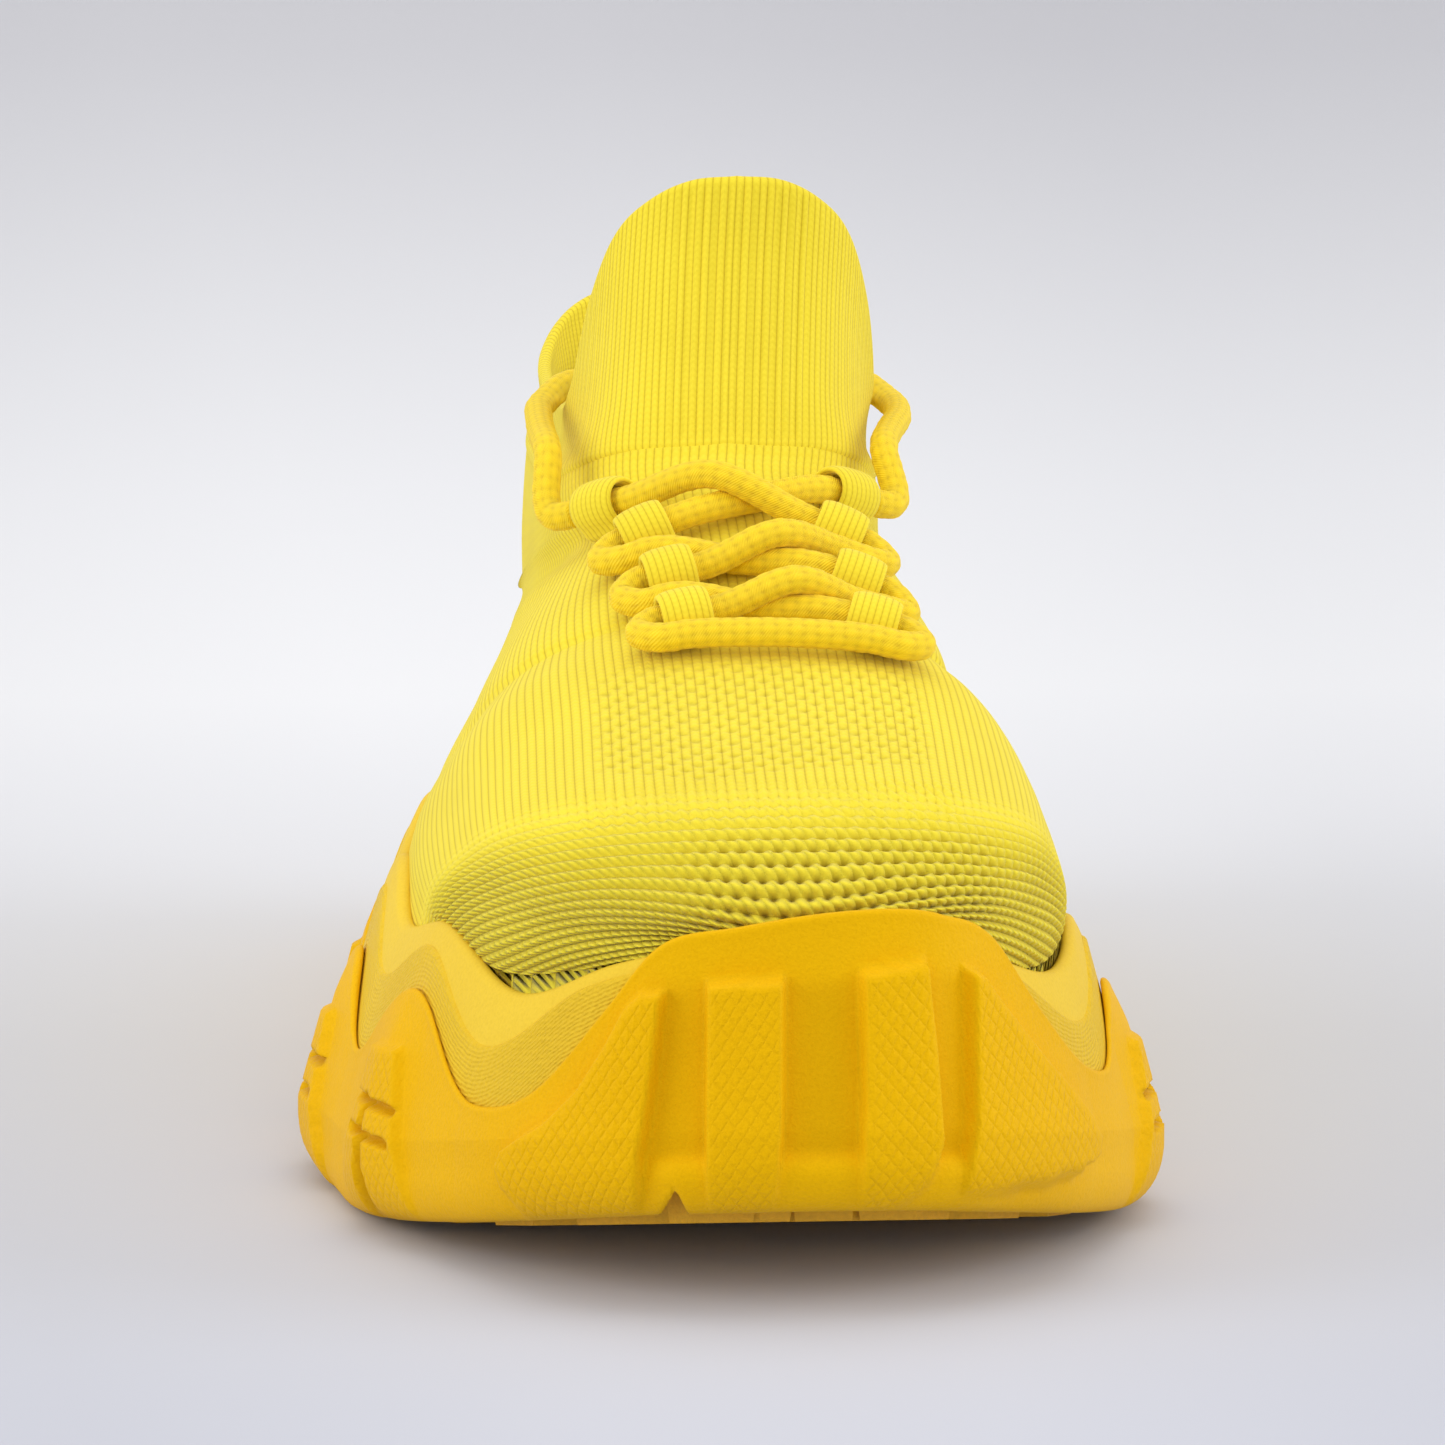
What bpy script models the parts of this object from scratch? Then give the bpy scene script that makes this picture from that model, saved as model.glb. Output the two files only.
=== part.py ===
"""Right running shoe: a chunky moulded sole, a knitted upper with a tall sock collar, and cord lacing.

Frame: +Z up, the toe points to -Y and the medial (big toe) side is +X. The origin is on the
ground at the centre of the footprint. Lengths are in millimetres until a mesh is made, where
MM turns them into metres. Two parameters describe most shapes:

  theta  the place along the sole's edge, from the toe (0) down the lateral side to the heel (pi)
         and back up the medial side to the toe (2 pi)
  u, v   the place on the upper: u from the toe tip (0) over the instep to the collar's rim (1),
         v from the lateral edge (-1) over the top (0) to the medial edge (1)
"""

import math

import bmesh
import bpy
import numpy as np
from mathutils import Vector
from mathutils.bvhtree import BVHTree

MM = 0.001
PI = math.pi

# Driving dimensions.
LENGTH = 290.0
GAP = 0.3  # between pieces that touch
TOE_SPRING = 14.0
HEEL_RISE = 4.0
CAGE_WALL = 2.4
FLANGE = 9.0  # how far the cage's bottom reaches inwards
FLANGE_THICK = 6.6
CAGE_FOOT = 8.6  # where the cage's inner wall meets its flange, above the ground line
BOTTOM_ROUND = 8.0  # height of the rounded bottom edge
RIM_GROOVE = 6.0  # how deep the rim stands in the midsole
TREAD_DEPTH = 3.0
OUTSOLE_PLATE = 3.2
MIDSOLE_INSET = CAGE_WALL + GAP
RIM_INSET = MIDSOLE_INSET + 1.0
RIM_WALL = 2.0
FEATHER_INSET = RIM_INSET + RIM_WALL + 1.2  # from the sole's wall to the knit
EDGE_SLOPE = math.radians(79)  # steepness of the toe box where it leaves the sole
SKIRT = 0.2  # the part of v past 1 where the knit runs down inside the rim to the footbed
INNER_INSET = 12.4  # from the sole's wall to the lasting board and the insole
BOARD_THICK = 1.7
INSOLE_THICK = 4.0
KNIT_THICK = 2.2
STIFFENER_THICK = 1.1
LACE_RADIUS = 2.1
WEBBING_THICK = 0.7

# Half outlines of the sole at its widest, as (y, x).
LATERAL = [(-142.5, -14.0), (-133.0, -30.0), (-116.0, -43.0), (-95.0, -52.5), (-70.0, -59.0),
           (-46.0, -60.5), (-18.0, -57.0), (18.0, -48.5), (55.0, -40.5), (90.0, -37.0),
           (118.0, -32.0), (137.0, -20.0)]
MEDIAL = [(-142.5, 22.0), (-133.0, 36.5), (-116.0, 49.0), (-95.0, 57.5), (-70.0, 60.5),
          (-46.0, 57.5), (-18.0, 50.0), (18.0, 43.5), (55.0, 41.5), (90.0, 42.0),
          (118.0, 38.0), (137.0, 25.0)]
TOE_X = 4.0
HEEL_X = 2.5

# Heights of the wavy edges as (side, y, z): the cage dips between its lobes.
CAGE_TOP = [("L", -144.5, 53.0), ("L", -141.0, 49.0), ("L", -137.5, 41.0), ("L", -129.0, 28.0),
            ("L", -118.0, 24.5), ("L", -92.0, 35.5), ("L", -71.0, 23.0), ("L", -50.0, 34.0),
            ("L", -29.0, 24.0), ("L", -8.0, 36.0), ("L", 14.0, 25.5), ("L", 36.0, 38.5),
            ("L", 58.0, 28.0), ("L", 80.0, 42.5), ("L", 104.0, 34.0), ("L", 134.0, 56.0),
            ("M", -140.0, 53.5), ("M", -132.5, 48.7), ("M", -126.5, 39.5), ("M", -117.5, 30.0),
            ("M", -106.0, 25.5), ("M", -85.0, 34.5), ("M", -63.0, 23.0), ("M", -42.0, 34.0),
            ("M", -20.0, 24.0), ("M", 2.0, 36.0), ("M", 24.0, 25.5), ("M", 46.0, 38.5),
            ("M", 67.0, 28.5), ("M", 88.0, 43.0), ("M", 108.0, 35.0), ("M", 134.0, 56.0),
            ("L", 145.0, 59.0)]
MIDSOLE_TOP = [("L", -145.0, 48.0), ("L", -134.0, 43.0), ("L", -117.0, 32.2), ("L", -92.0, 41.5),
               ("L", -71.0, 34.0), ("L", -50.0, 43.0), ("L", -29.0, 35.5), ("L", -8.0, 45.0),
               ("L", 14.0, 37.0), ("L", 36.0, 47.5), ("L", 58.0, 40.5), ("L", 80.0, 50.5),
               ("L", 104.0, 46.0), ("L", 145.0, 56.5),
               ("M", -130.0, 44.0), ("M", -108.0, 33.0), ("M", -85.0, 40.5), ("M", -63.0, 33.5),
               ("M", -42.0, 43.0), ("M", -20.0, 35.5), ("M", 2.0, 45.0), ("M", 24.0, 37.5),
               ("M", 46.0, 48.0), ("M", 67.0, 41.5), ("M", 88.0, 51.0), ("M", 108.0, 47.0)]
RIM_TOP = [("L", -145.0, 50.5), ("L", -137.0, 46.5), ("L", -122.0, 40.0), ("L", -92.0, 44.6),
           ("L", -71.0, 41.0), ("L", -50.0, 47.0), ("L", -29.0, 44.0), ("L", -8.0, 49.5),
           ("L", 14.0, 46.5), ("L", 36.0, 52.5), ("L", 58.0, 50.0), ("L", 80.0, 55.5),
           ("L", 104.0, 54.0), ("L", 145.0, 60.5),
           ("M", -134.0, 47.0), ("M", -112.0, 40.5), ("M", -85.0, 43.5), ("M", -63.0, 41.0),
           ("M", -42.0, 47.0), ("M", -20.0, 44.0), ("M", 2.0, 49.5), ("M", 24.0, 46.5),
           ("M", 46.0, 52.5), ("M", 67.0, 50.5), ("M", 88.0, 56.0), ("M", 108.0, 54.5)]
# Height of the footbed, the midsole's top surface, as (y, z).
FOOTBED = [(-145.0, 32.5), (-130.0, 29.0), (-113.0, 26.0), (-90.0, 25.0), (-60.0, 25.5),
           (-20.0, 28.0), (20.0, 32.0), (60.0, 37.0), (100.0, 40.0), (145.0, 40.5)]
# How much the sole's wall leans inwards for each millimetre of height, as (theta, lean).
WALL_LEAN = [(0.0, 0.17), (0.6, 0.22), (1.1, 0.28), (1.6, 0.25), (2.2, 0.17), (PI, 0.15),
             (4.1, 0.17), (4.7, 0.25), (5.2, 0.28), (5.7, 0.22)]

# The upper's centre line over the top (u, y, z), and its lower edge as (u, theta of the edge).
TOP_LINE = [(0.0, -134.0, 49.0), (0.06, -134.0, 54.0), (0.11, -131.6, 57.6), (0.15, -128.0, 60.6),
            (0.20, -121.5, 63.6), (0.30, -106.0, 67.8), (0.40, -87.0, 72.0), (0.50, -66.0, 77.5),
            (0.58, -48.0, 83.0), (0.64, -34.0, 88.5), (0.70, -23.0, 93.2), (0.74, -17.0, 96.0),
            (0.80, -11.5, 99.0), (0.85, -8.0, 102.0), (0.88, -4.6, 108.0), (0.92, 0.5, 117.0),
            (0.96, 5.5, 128.5), (1.0, 8.5, 139.0)]
EDGE_LINE = [(0.0, 0.0), (0.06, 0.24), (0.11, 0.42), (0.15, 0.55), (0.20, 0.68), (0.30, 0.86),
             (0.40, 1.02), (0.50, 1.22), (0.58, 1.52), (0.64, 1.88), (0.70, 2.48), (0.74, PI)]
EDGE_HEIGHT = [(-145.0, 49.0), (-130.0, 44.6), (-118.0, 42.0), (-92.0, 43.2), (-60.0, 44.8),
               (-29.0, 46.8), (14.0, 50.4), (58.0, 53.8), (104.0, 55.6), (145.0, 59.4)]  # as (y, z)
HEEL_U = 0.74  # from here to the rim the upper is a closed tube
HEEL_LINE = [(0.74, 130.8, 59.4), (0.77, 131.6, 67.0), (0.80, 131.4, 77.0), (0.85, 127.4, 94.0),
             (0.88, 125.2, 99.0), (0.92, 125.0, 102.0), (1.0, 127.0, 110.5)]
HALF_WIDTH = [(0.50, 38.6), (0.58, 36.0), (0.64, 31.2), (0.70, 28.0), (0.74, 27.0),
              (0.80, 26.4), (0.85, 25.2), (0.88, 24.0), (0.92, 23.0), (1.0, 23.0)]
TOP_X = [(0.0, 4.0), (0.3, 3.6), (0.5, 4.6), (0.64, 4.2), (0.8, 3.4), (0.88, 4.2), (1.0, 6.4)]
BOXINESS = [(0.0, 0.10), (0.3, 0.10), (0.5, 0.085), (0.7, 0.08), (0.85, 0.13), (1.0, 0.16)]
SEAM_FRONT, SEAM_BACK = 0.010, 0.007  # half of the collar seam's gap, in u
COLLAR_U = 0.85  # where the sock collar comes out of the outer knit
# Heights round the two collar rings, as (angle in degrees from the front, z).
JOIN_RING = [(0, 102.0), (25, 100.0), (50, 94.0), (80, 90.0), (110, 88.5), (150, 92.0), (180, 94.0)]
RIM_RING = [(0, 139.0), (10, 138.3), (19, 135.6), (30, 129.5), (40, 119.0), (50, 107.5), (62, 101.5),
            (80, 98.5), (105, 97.5), (130, 100.0), (158, 107.5), (180, 110.5)]

# The lacing: each pair of loops as (y, x of the pair's middle, x from there), toe end first.
LOOP_ROWS = [(-56.0, 7.6, 13.0), (-42.5, 6.2, 12.8), (-28.4, 4.4, 13.0), (-12.5, 3.2, 15.6)]
LOOP_WIDTH = 6.0
TUNNEL_REACH = LOOP_WIDTH / 2 + 2.2  # from a loop's centre to where its lace turns
TUNNEL_RADIUS = LACE_RADIUS + 0.7
LACE_REST = TUNNEL_RADIUS + 2 * GAP  # the lace's middle above the knit
LACE_REST_Y = (60.0, 78.0, 98.0, 112.0)  # where the free ends lie on the insole
AGLET_LENGTH = 22.0
AGLET_RADIUS = 1.8
INSOLE_TOP = 2 * GAP + BOARD_THICK + INSOLE_THICK  # above the footbed
LACE_PITCH = 5.8  # from a loop's tunnel forwards to the strand that turns into it


def spline(knots, at, period=None):
    """The smooth curve through knots (place, value, ...), read at the places `at`."""
    knots = np.asarray(knots, float)
    places, values = knots[:, 0], knots[:, 1:]
    if period:
        at = np.mod(at, period)
        places = np.concatenate([places[-3:] - period, places, places[:3] + period])
        values = np.concatenate([values[-3:], values, values[:3]])
    at = np.atleast_1d(np.asarray(at, float))
    slopes = np.gradient(values, places, axis=0)
    i = np.clip(np.searchsorted(places, at, "right") - 1, 0, len(places) - 2)
    step = (places[i + 1] - places[i])[:, None]
    t = np.clip((at - places[i])[:, None] / step, 0.0, 1.0)
    a, b, da, db = values[i], values[i + 1], slopes[i] * step, slopes[i + 1] * step
    found = a + t * (da + t * (3 * (b - a) - 2 * da - db + t * (2 * (a - b) + da + db)))
    return found[:, 0] if found.shape[1] == 1 else found


def theta_at(side, y):
    """The theta where the sole's edge passes y on the lateral (L) or medial (M) side."""
    theta = math.acos(max(-1.0, min(1.0, -2.0 * y / LENGTH)))
    return theta if side == "L" else 2 * PI - theta


def edge_knots(rows):
    """Rows of (side, y, z) as spline knots over theta."""
    return sorted((theta_at(side, y), z) for side, y, z in rows)


OUTLINE = sorted([(0.0, TOE_X), (PI, HEEL_X)] + [(theta_at("L", y), x) for y, x in LATERAL]
                 + [(theta_at("M", y), x) for y, x in MEDIAL])
CAGE_KNOTS = edge_knots(CAGE_TOP)
MIDSOLE_KNOTS = edge_knots(MIDSOLE_TOP)
RIM_KNOTS = edge_knots(RIM_TOP)


def outline(theta):
    """The sole's edge at its widest, as points (x, y)."""
    return np.stack([spline(OUTLINE, theta, 2 * PI), -LENGTH / 2 * np.cos(theta)], axis=1)


def inwards(theta):
    """The unit vectors that point into the sole from its edge."""
    step = 0.02
    along = outline(theta + step) - outline(theta - step)
    along /= np.linalg.norm(along, axis=1)[:, None]
    return np.stack([-along[:, 1], along[:, 0]], axis=1) * -1.0


def ground(y):
    """Height of the sole's underside: flat in the middle, lifted at the toe and heel."""
    toe = np.clip((-72.0 - y) / 73.0, 0, None) ** 1.35 * TOE_SPRING
    heel = np.clip((y - 112.0) / 33.0, 0, None) ** 2 * HEEL_RISE
    return toe + heel


def wall(theta, z):
    """How far the sole's outer wall stands in from its edge at height z above the ground line."""
    base = ground(outline(theta)[:, 1])
    return np.clip(z - base - 12.0, 0, None) * spline(WALL_LEAN, theta, 2 * PI)


def sole_ring(theta, inset, z):
    """A ring of points inset from the sole's leaning wall, at the heights z."""
    flat = outline(theta) + inwards(theta) * (inset + wall(theta, z))[:, None]
    return np.column_stack([flat, z])


def footbed(theta):
    return spline(FOOTBED, outline(theta)[:, 1])


def upper_edge(theta, drop):
    """The line where the knit meets the sole, or below it: drop is 1 at the footbed."""
    y = outline(theta)[:, 1]
    high = spline(EDGE_HEIGHT, y)
    z = high + (footbed(theta) + 3.0 - high) * drop
    return sole_ring(theta, np.full_like(z, FEATHER_INSET), z)


def upper_section(u, half):
    """Half the width of each of the upper's sections, and the angle at which it ends."""
    slope = EDGE_SLOPE + (PI / 2 - EDGE_SLOPE) * np.clip((u - 0.46) / 0.08, 0, 1)
    widest = half / np.sin(slope)
    back = u > 0.54
    widest = np.where(back, np.maximum(spline(HALF_WIDTH, u), half), widest)
    widest = np.maximum(widest, 1e-6)
    reach = np.where(back, PI - np.arcsin(np.clip(half / widest, 0, 1)), slope)
    return widest, reach


def upper_surface(u, v):
    """Points (x, y, z) of the upper's outer surface at the arrays u and v."""
    top_y, top_z = spline(TOP_LINE, u).T
    edge_theta = np.clip(spline(EDGE_LINE, np.minimum(u, HEEL_U)), 0.0, PI)
    drop = np.clip((np.abs(v) - 1) / SKIRT, 0, 1)
    lateral = upper_edge(edge_theta, drop)
    medial = upper_edge(2 * PI - edge_theta, drop)
    closed = u > HEEL_U
    heel_y, heel_z = spline(HEEL_LINE, np.maximum(u, HEEL_U)).T
    half = np.where(closed, 0.0, (medial[:, 0] - lateral[:, 0]) / 2)
    end_x = np.where(closed, HEEL_X + 1.2, (medial[:, 0] + lateral[:, 0]) / 2)
    end_y = np.where(closed, heel_y, (medial[:, 1] + lateral[:, 1]) / 2)
    end_z = np.where(closed, heel_z, (medial[:, 2] + lateral[:, 2]) / 2)
    widest, reach = upper_section(u, half)
    angle = np.clip(v, -1, 1) * reach
    share = (1 - np.cos(angle)) / (1 - np.cos(reach))
    boxy = spline(BOXINESS, u)
    side = (np.sin(angle) + boxy * np.sin(3 * angle)) / (1 - boxy)
    end_side = (np.sin(reach) + boxy * np.sin(3 * reach)) / (1 - boxy)
    side += np.sign(v) * share ** 3 * (np.sin(reach) - end_side)
    x = spline(TOP_X, u) * (1 - share) + end_x * share + widest * side
    y = top_y * (1 - share) + end_y * share
    z = top_z * (1 - share) + end_z * share
    return np.stack([x, y, z + collar_dip(u, np.degrees(np.abs(angle)), share)], axis=1)


def collar_dip(u, degrees, share):
    """How far the rings near the collar leave the straight line from their front to their back."""
    join = spline(JOIN_RING, degrees) - (JOIN_RING[0][1] * (1 - share) + JOIN_RING[-1][1] * share)
    rim = spline(RIM_RING, degrees) - (RIM_RING[0][1] * (1 - share) + RIM_RING[-1][1] * share)
    to_join = np.clip((u - 0.60) / (COLLAR_U - 0.60), 0, 1)
    to_join = to_join * to_join * (3 - 2 * to_join)
    to_rim = np.clip((u - COLLAR_U) / (1 - COLLAR_U), 0, 1)
    return join * to_join * (1 - to_rim) + rim * to_rim


def upper_offset(u, v, depth):
    """Points of the upper at a depth inside its outer surface."""
    step = 1e-3
    last = np.where(np.abs(v) > 1, HEEL_U - 1e-6, 1.0)
    u_low = np.clip(u - step, 0, last - 2 * step)
    u_high = u_low + 2 * step
    v_low = np.clip(v - step, -1 - SKIRT, 1 + SKIRT)
    v_high = np.clip(v + step, -1 - SKIRT, 1 + SKIRT)
    along_u = upper_surface(u_high, v) - upper_surface(u_low, v)
    near_v = np.clip(u, 0.004, 1)
    along_v = upper_surface(near_v, v_high) - upper_surface(near_v, v_low)
    normal = np.cross(along_v, along_u)
    normal /= np.maximum(np.linalg.norm(normal, axis=1), 1e-12)[:, None]
    return upper_surface(u, v) - normal * depth


# ---------------------------------------------------------------- mesh helpers


def add_object(name, bm, material):
    """A smooth-shaded object from a bmesh in millimetres, with its normals pointing out."""
    bmesh.ops.scale(bm, vec=(MM, MM, MM), verts=bm.verts)
    bmesh.ops.recalc_face_normals(bm, faces=bm.faces)
    mesh = bpy.data.meshes.new(name)
    bm.to_mesh(mesh)
    bm.free()
    mesh.materials.append(material)
    mesh.shade_smooth()
    mesh.set_sharp_from_angle(angle=math.radians(40))
    obj = bpy.data.objects.new(name, mesh)
    bpy.context.scene.collection.objects.link(obj)
    return obj


def ring_solid(name, rings, material, closed_section):
    """A solid from rings round the shoe. A closed section gives a band; an open one gives a
    full solid, whose first and last rings are filled straight across the shoe."""
    bm = bmesh.new()
    rows = [[bm.verts.new(p) for p in ring] for ring in rings]
    count = len(rows[0])
    pairs = list(zip(rows, rows[1:]))
    if closed_section:
        pairs.append((rows[-1], rows[0]))
    for low, high in pairs:
        for i in range(count):
            j = (i + 1) % count
            bm.faces.new((low[i], low[j], high[j], high[i]))
    if not closed_section:
        for row in (rows[0], rows[-1]):
            fill_across(bm, row)
    return add_object(name, bm, material)


def fill_across(bm, row):
    """Fills a ring that starts at the toe and passes the heel halfway, straight across."""
    count = len(row)
    for i in range(count // 2):
        corners = [row[i], row[i + 1], row[count - i - 1], row[(count - i) % count]]
        bm.faces.new(list(dict.fromkeys(corners)))


def upper_shell(name, us, vs, outer, thick, material, seam=None):
    """A closed shell of the upper between the depths outer and outer + thick. seam is the
    row that stops just short of the seam between the upper and the collar, 0 or -1."""
    bm = bmesh.new()
    us, vs = np.asarray(us), np.asarray(vs)
    layers = [[[bm.verts.new(p) for p in row] for row in shell_points(us, vs, depth, seam)]
              for depth in (outer, outer + thick)]
    whole = abs(vs[0]) >= 1
    shut = (us >= HEEL_U - 1e-9) & whole
    for layer in layers:
        for i, (low, high) in enumerate(zip(layer, layer[1:])):
            for k in range(len(vs) - 1):
                skirt = max(abs(vs[k]), abs(vs[k + 1])) > 1
                if not (skirt and shut[i]):
                    bm.faces.new((low[k], low[k + 1], high[k + 1], high[k]))
    top, under = layers
    walls = [(top[-1], under[-1])]
    if us[0] > 0:
        walls.append((top[0], under[0]))
    if not shut[0]:
        stop = len(us) if not shut.any() else int(np.argmax(shut)) + 1
        for k in (0, -1):
            walls.append(([r[k] for r in top[:stop]], [r[k] for r in under[:stop]]))
    for a, b in walls:
        first = 1 if shut[-1] and len(a) == len(vs) and abs(vs[0]) > 1 else 0
        for k in range(first, len(a) - 1 - first):
            bm.faces.new((a[k], a[k + 1], b[k + 1], b[k]))
    loose = [v for v in bm.verts if not v.link_faces]
    bmesh.ops.delete(bm, geom=loose, context="VERTS")
    bmesh.ops.remove_doubles(bm, verts=bm.verts, dist=1e-4)
    return add_object(name, bm, material)


def shell_points(us, vs, depth, seam):
    """The grid of points of one side of a shell, closed at the toe tip and up the heel."""
    uu, vv = np.meshgrid(us, vs, indexing="ij")
    if seam is not None:
        away = 1 if seam == 0 else -1
        uu[seam] += away * (SEAM_BACK + (SEAM_FRONT - SEAM_BACK) * (1 - np.abs(vs)).clip(0))
    points = upper_offset(uu.ravel(), vv.ravel(), depth).reshape(*uu.shape, 3)
    whole = abs(vs[0]) >= 1
    mirrored = (points + points[:, ::-1]) / 2
    for i, u in enumerate(us):
        if whole and (u == 0 or u >= HEEL_U - 1e-9):
            ends = np.abs(vs) >= 1 - 1e-9
            points[i, ends] = mirrored[i, ends]
        if u == 0:
            middle = np.abs(vs) <= 1 + 1e-9
            points[i, middle] = points[i, middle].mean(axis=0)
    return points


def tube(name, points, radius, material):
    """A round cord through points (millimetres) as a curve object with closed ends."""
    curve = bpy.data.curves.new(name, "CURVE")
    curve.dimensions = "3D"
    curve.bevel_depth = radius * MM
    curve.bevel_resolution = 2
    curve.use_fill_caps = True
    line = curve.splines.new("POLY")
    line.points.add(len(points) - 1)
    for knot, point in zip(line.points, points):
        knot.co = (*(np.asarray(point) * MM), 1.0)
    curve.materials.append(material)
    obj = bpy.data.objects.new(name, curve)
    bpy.context.scene.collection.objects.link(obj)
    return obj


def resample(points, spacing):
    """Points of the smooth curve through the given points, about spacing apart."""
    points = np.asarray(points, float)
    along = np.concatenate([[0], np.cumsum(np.linalg.norm(np.diff(points, axis=0), axis=1))])
    knots = np.column_stack([along, points])
    count = max(3, int(round(along[-1] / spacing)) + 1)
    return spline(knots, np.linspace(0, along[-1], count))


def make_material(name, colour, roughness):
    material = bpy.data.materials.new(name)
    material.use_nodes = True
    shader = material.node_tree.nodes["Principled BSDF"]
    shader.inputs["Base Color"].default_value = (*colour, 1.0)
    shader.inputs["Roughness"].default_value = roughness
    shader.inputs["Metallic"].default_value = 0.0
    return material


# ---------------------------------------------------------------- the sole unit


def thetas(count):
    """Even steps of theta round the sole, with one at the toe and one at the heel."""
    return np.arange(count) * 2 * PI / count


def build_cage(material):
    """The outer cupsole: a waved wall with a flange under the foot's edge."""
    theta = thetas(90)
    base = ground(outline(theta)[:, 1])
    top = spline(CAGE_KNOTS, theta, 2 * PI)
    even = np.ones_like(theta)
    rings = [
        sole_ring(theta, FLANGE * even, base),
        sole_ring(theta, 5.0 * even, base),
        sole_ring(theta, 1.6 * even, base + 2.4),
        sole_ring(theta, 0.0 * even, base + BOTTOM_ROUND),
        sole_ring(theta, 0.0 * even, (base + BOTTOM_ROUND) * 0.45 + top * 0.55),
        sole_ring(theta, 0.4 * even, top - 0.8),
        sole_ring(theta, 1.3 * even, top),
        sole_ring(theta, CAGE_WALL * even, top - 0.3),
        sole_ring(theta, CAGE_WALL * even, (base + CAGE_FOOT + top) / 2),
        sole_ring(theta, CAGE_WALL * even, base + CAGE_FOOT),
        sole_ring(theta, FLANGE * even, base + FLANGE_THICK),
    ]
    return ring_solid("sole_cage", rings, material, closed_section=True)


def build_midsole(material):
    """The foam core: its textured wall shows above the cage, and a groove holds the rim."""
    theta = thetas(72)
    base = ground(outline(theta)[:, 1])
    top = spline(MIDSOLE_KNOTS, theta, 2 * PI)
    even = np.ones_like(theta)
    rings = [
        sole_ring(theta, (FLANGE + 1.2) * even, base + FLANGE_THICK + GAP),
        sole_ring(theta, MIDSOLE_INSET * even, base + CAGE_FOOT + 2 * GAP),
        sole_ring(theta, MIDSOLE_INSET * even, (base + CAGE_FOOT + 2 * GAP + top) / 2),
        sole_ring(theta, MIDSOLE_INSET * even, top - 0.5),
        sole_ring(theta, (MIDSOLE_INSET + 0.5) * even, top),
        sole_ring(theta, (RIM_INSET - GAP) * even, top),
        sole_ring(theta, (RIM_INSET - GAP) * even, top - RIM_GROOVE),
        sole_ring(theta, (RIM_INSET + RIM_WALL + GAP) * even, top - RIM_GROOVE),
        sole_ring(theta, (RIM_INSET + RIM_WALL + GAP) * even, footbed(theta)),
    ]
    return ring_solid("midsole", rings, material, closed_section=False)


def build_rim(material):
    """The smooth foam band between the textured midsole and the knit."""
    theta = thetas(72)
    foot = spline(MIDSOLE_KNOTS, theta, 2 * PI) - RIM_GROOVE + GAP
    top = spline(RIM_KNOTS, theta, 2 * PI)
    even = np.ones_like(theta)
    outer, inner = RIM_INSET * even, (RIM_INSET + RIM_WALL) * even
    rings = [
        sole_ring(theta, outer, foot),
        sole_ring(theta, outer, top - 1.0),
        sole_ring(theta, outer + 0.6, top),
        sole_ring(theta, inner - 0.6, top),
        sole_ring(theta, inner, top - 1.0),
        sole_ring(theta, inner, foot),
    ]
    return ring_solid("midsole_rim", rings, material, closed_section=True)


def plate(name, above, thick, material):
    """A piece that fills the upper's floor, a given height above the footbed."""
    theta = thetas(56)
    inset = np.full_like(theta, INNER_INSET)
    rings = [sole_ring(theta, inset, footbed(theta) + z) for z in (above, above + thick)]
    return ring_solid(name, rings, material, closed_section=False)


def build_outsole(material):
    """The rubber tread: a plate whose lower face is cut into lugs by crossing grooves."""
    theta = thetas(56)
    base = ground(outline(theta)[:, 1])
    inset = np.full_like(theta, FLANGE + GAP)
    columns = 4
    half = len(theta) // 2
    low = sole_ring(theta, inset, base + TREAD_DEPTH)
    high = sole_ring(theta, inset, base + TREAD_DEPTH + OUTSOLE_PLATE)
    bm = bmesh.new()
    grids = []
    for ring in (low, high):
        rows = []
        for i in range(1, half):
            left, right = ring[i], ring[len(theta) - i]
            shares = np.linspace(0, 1, columns + 1)[:, None]
            rows.append([bm.verts.new(p) for p in left * (1 - shares) + right * shares])
        grids.append(rows)
    tread = []
    for level, rows in enumerate(grids):
        for a, b in zip(rows, rows[1:]):
            for k in range(columns):
                face = bm.faces.new((a[k], a[k + 1], b[k + 1], b[k]))
                if level == 0:
                    tread.append(face)
    under, over = grids
    sides = [([r[0] for r in under], [r[0] for r in over]),
             ([r[-1] for r in under], [r[-1] for r in over]),
             (under[0], over[0]), (under[-1], over[-1])]
    for a, b in sides:
        for k in range(len(a) - 1):
            bm.faces.new((a[k], a[k + 1], b[k + 1], b[k]))
    bmesh.ops.recalc_face_normals(bm, faces=bm.faces)
    lugs = [f for i, f in enumerate(tread) if (i // columns) % 2 == (i % columns) // 2]
    bmesh.ops.inset_individual(bm, faces=lugs, thickness=0.8)
    for face in lugs:
        for vert in face.verts:
            vert.co.z = float(ground(np.array([vert.co.y]))[0])
    return add_object("outsole_tread", bm, material)


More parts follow.
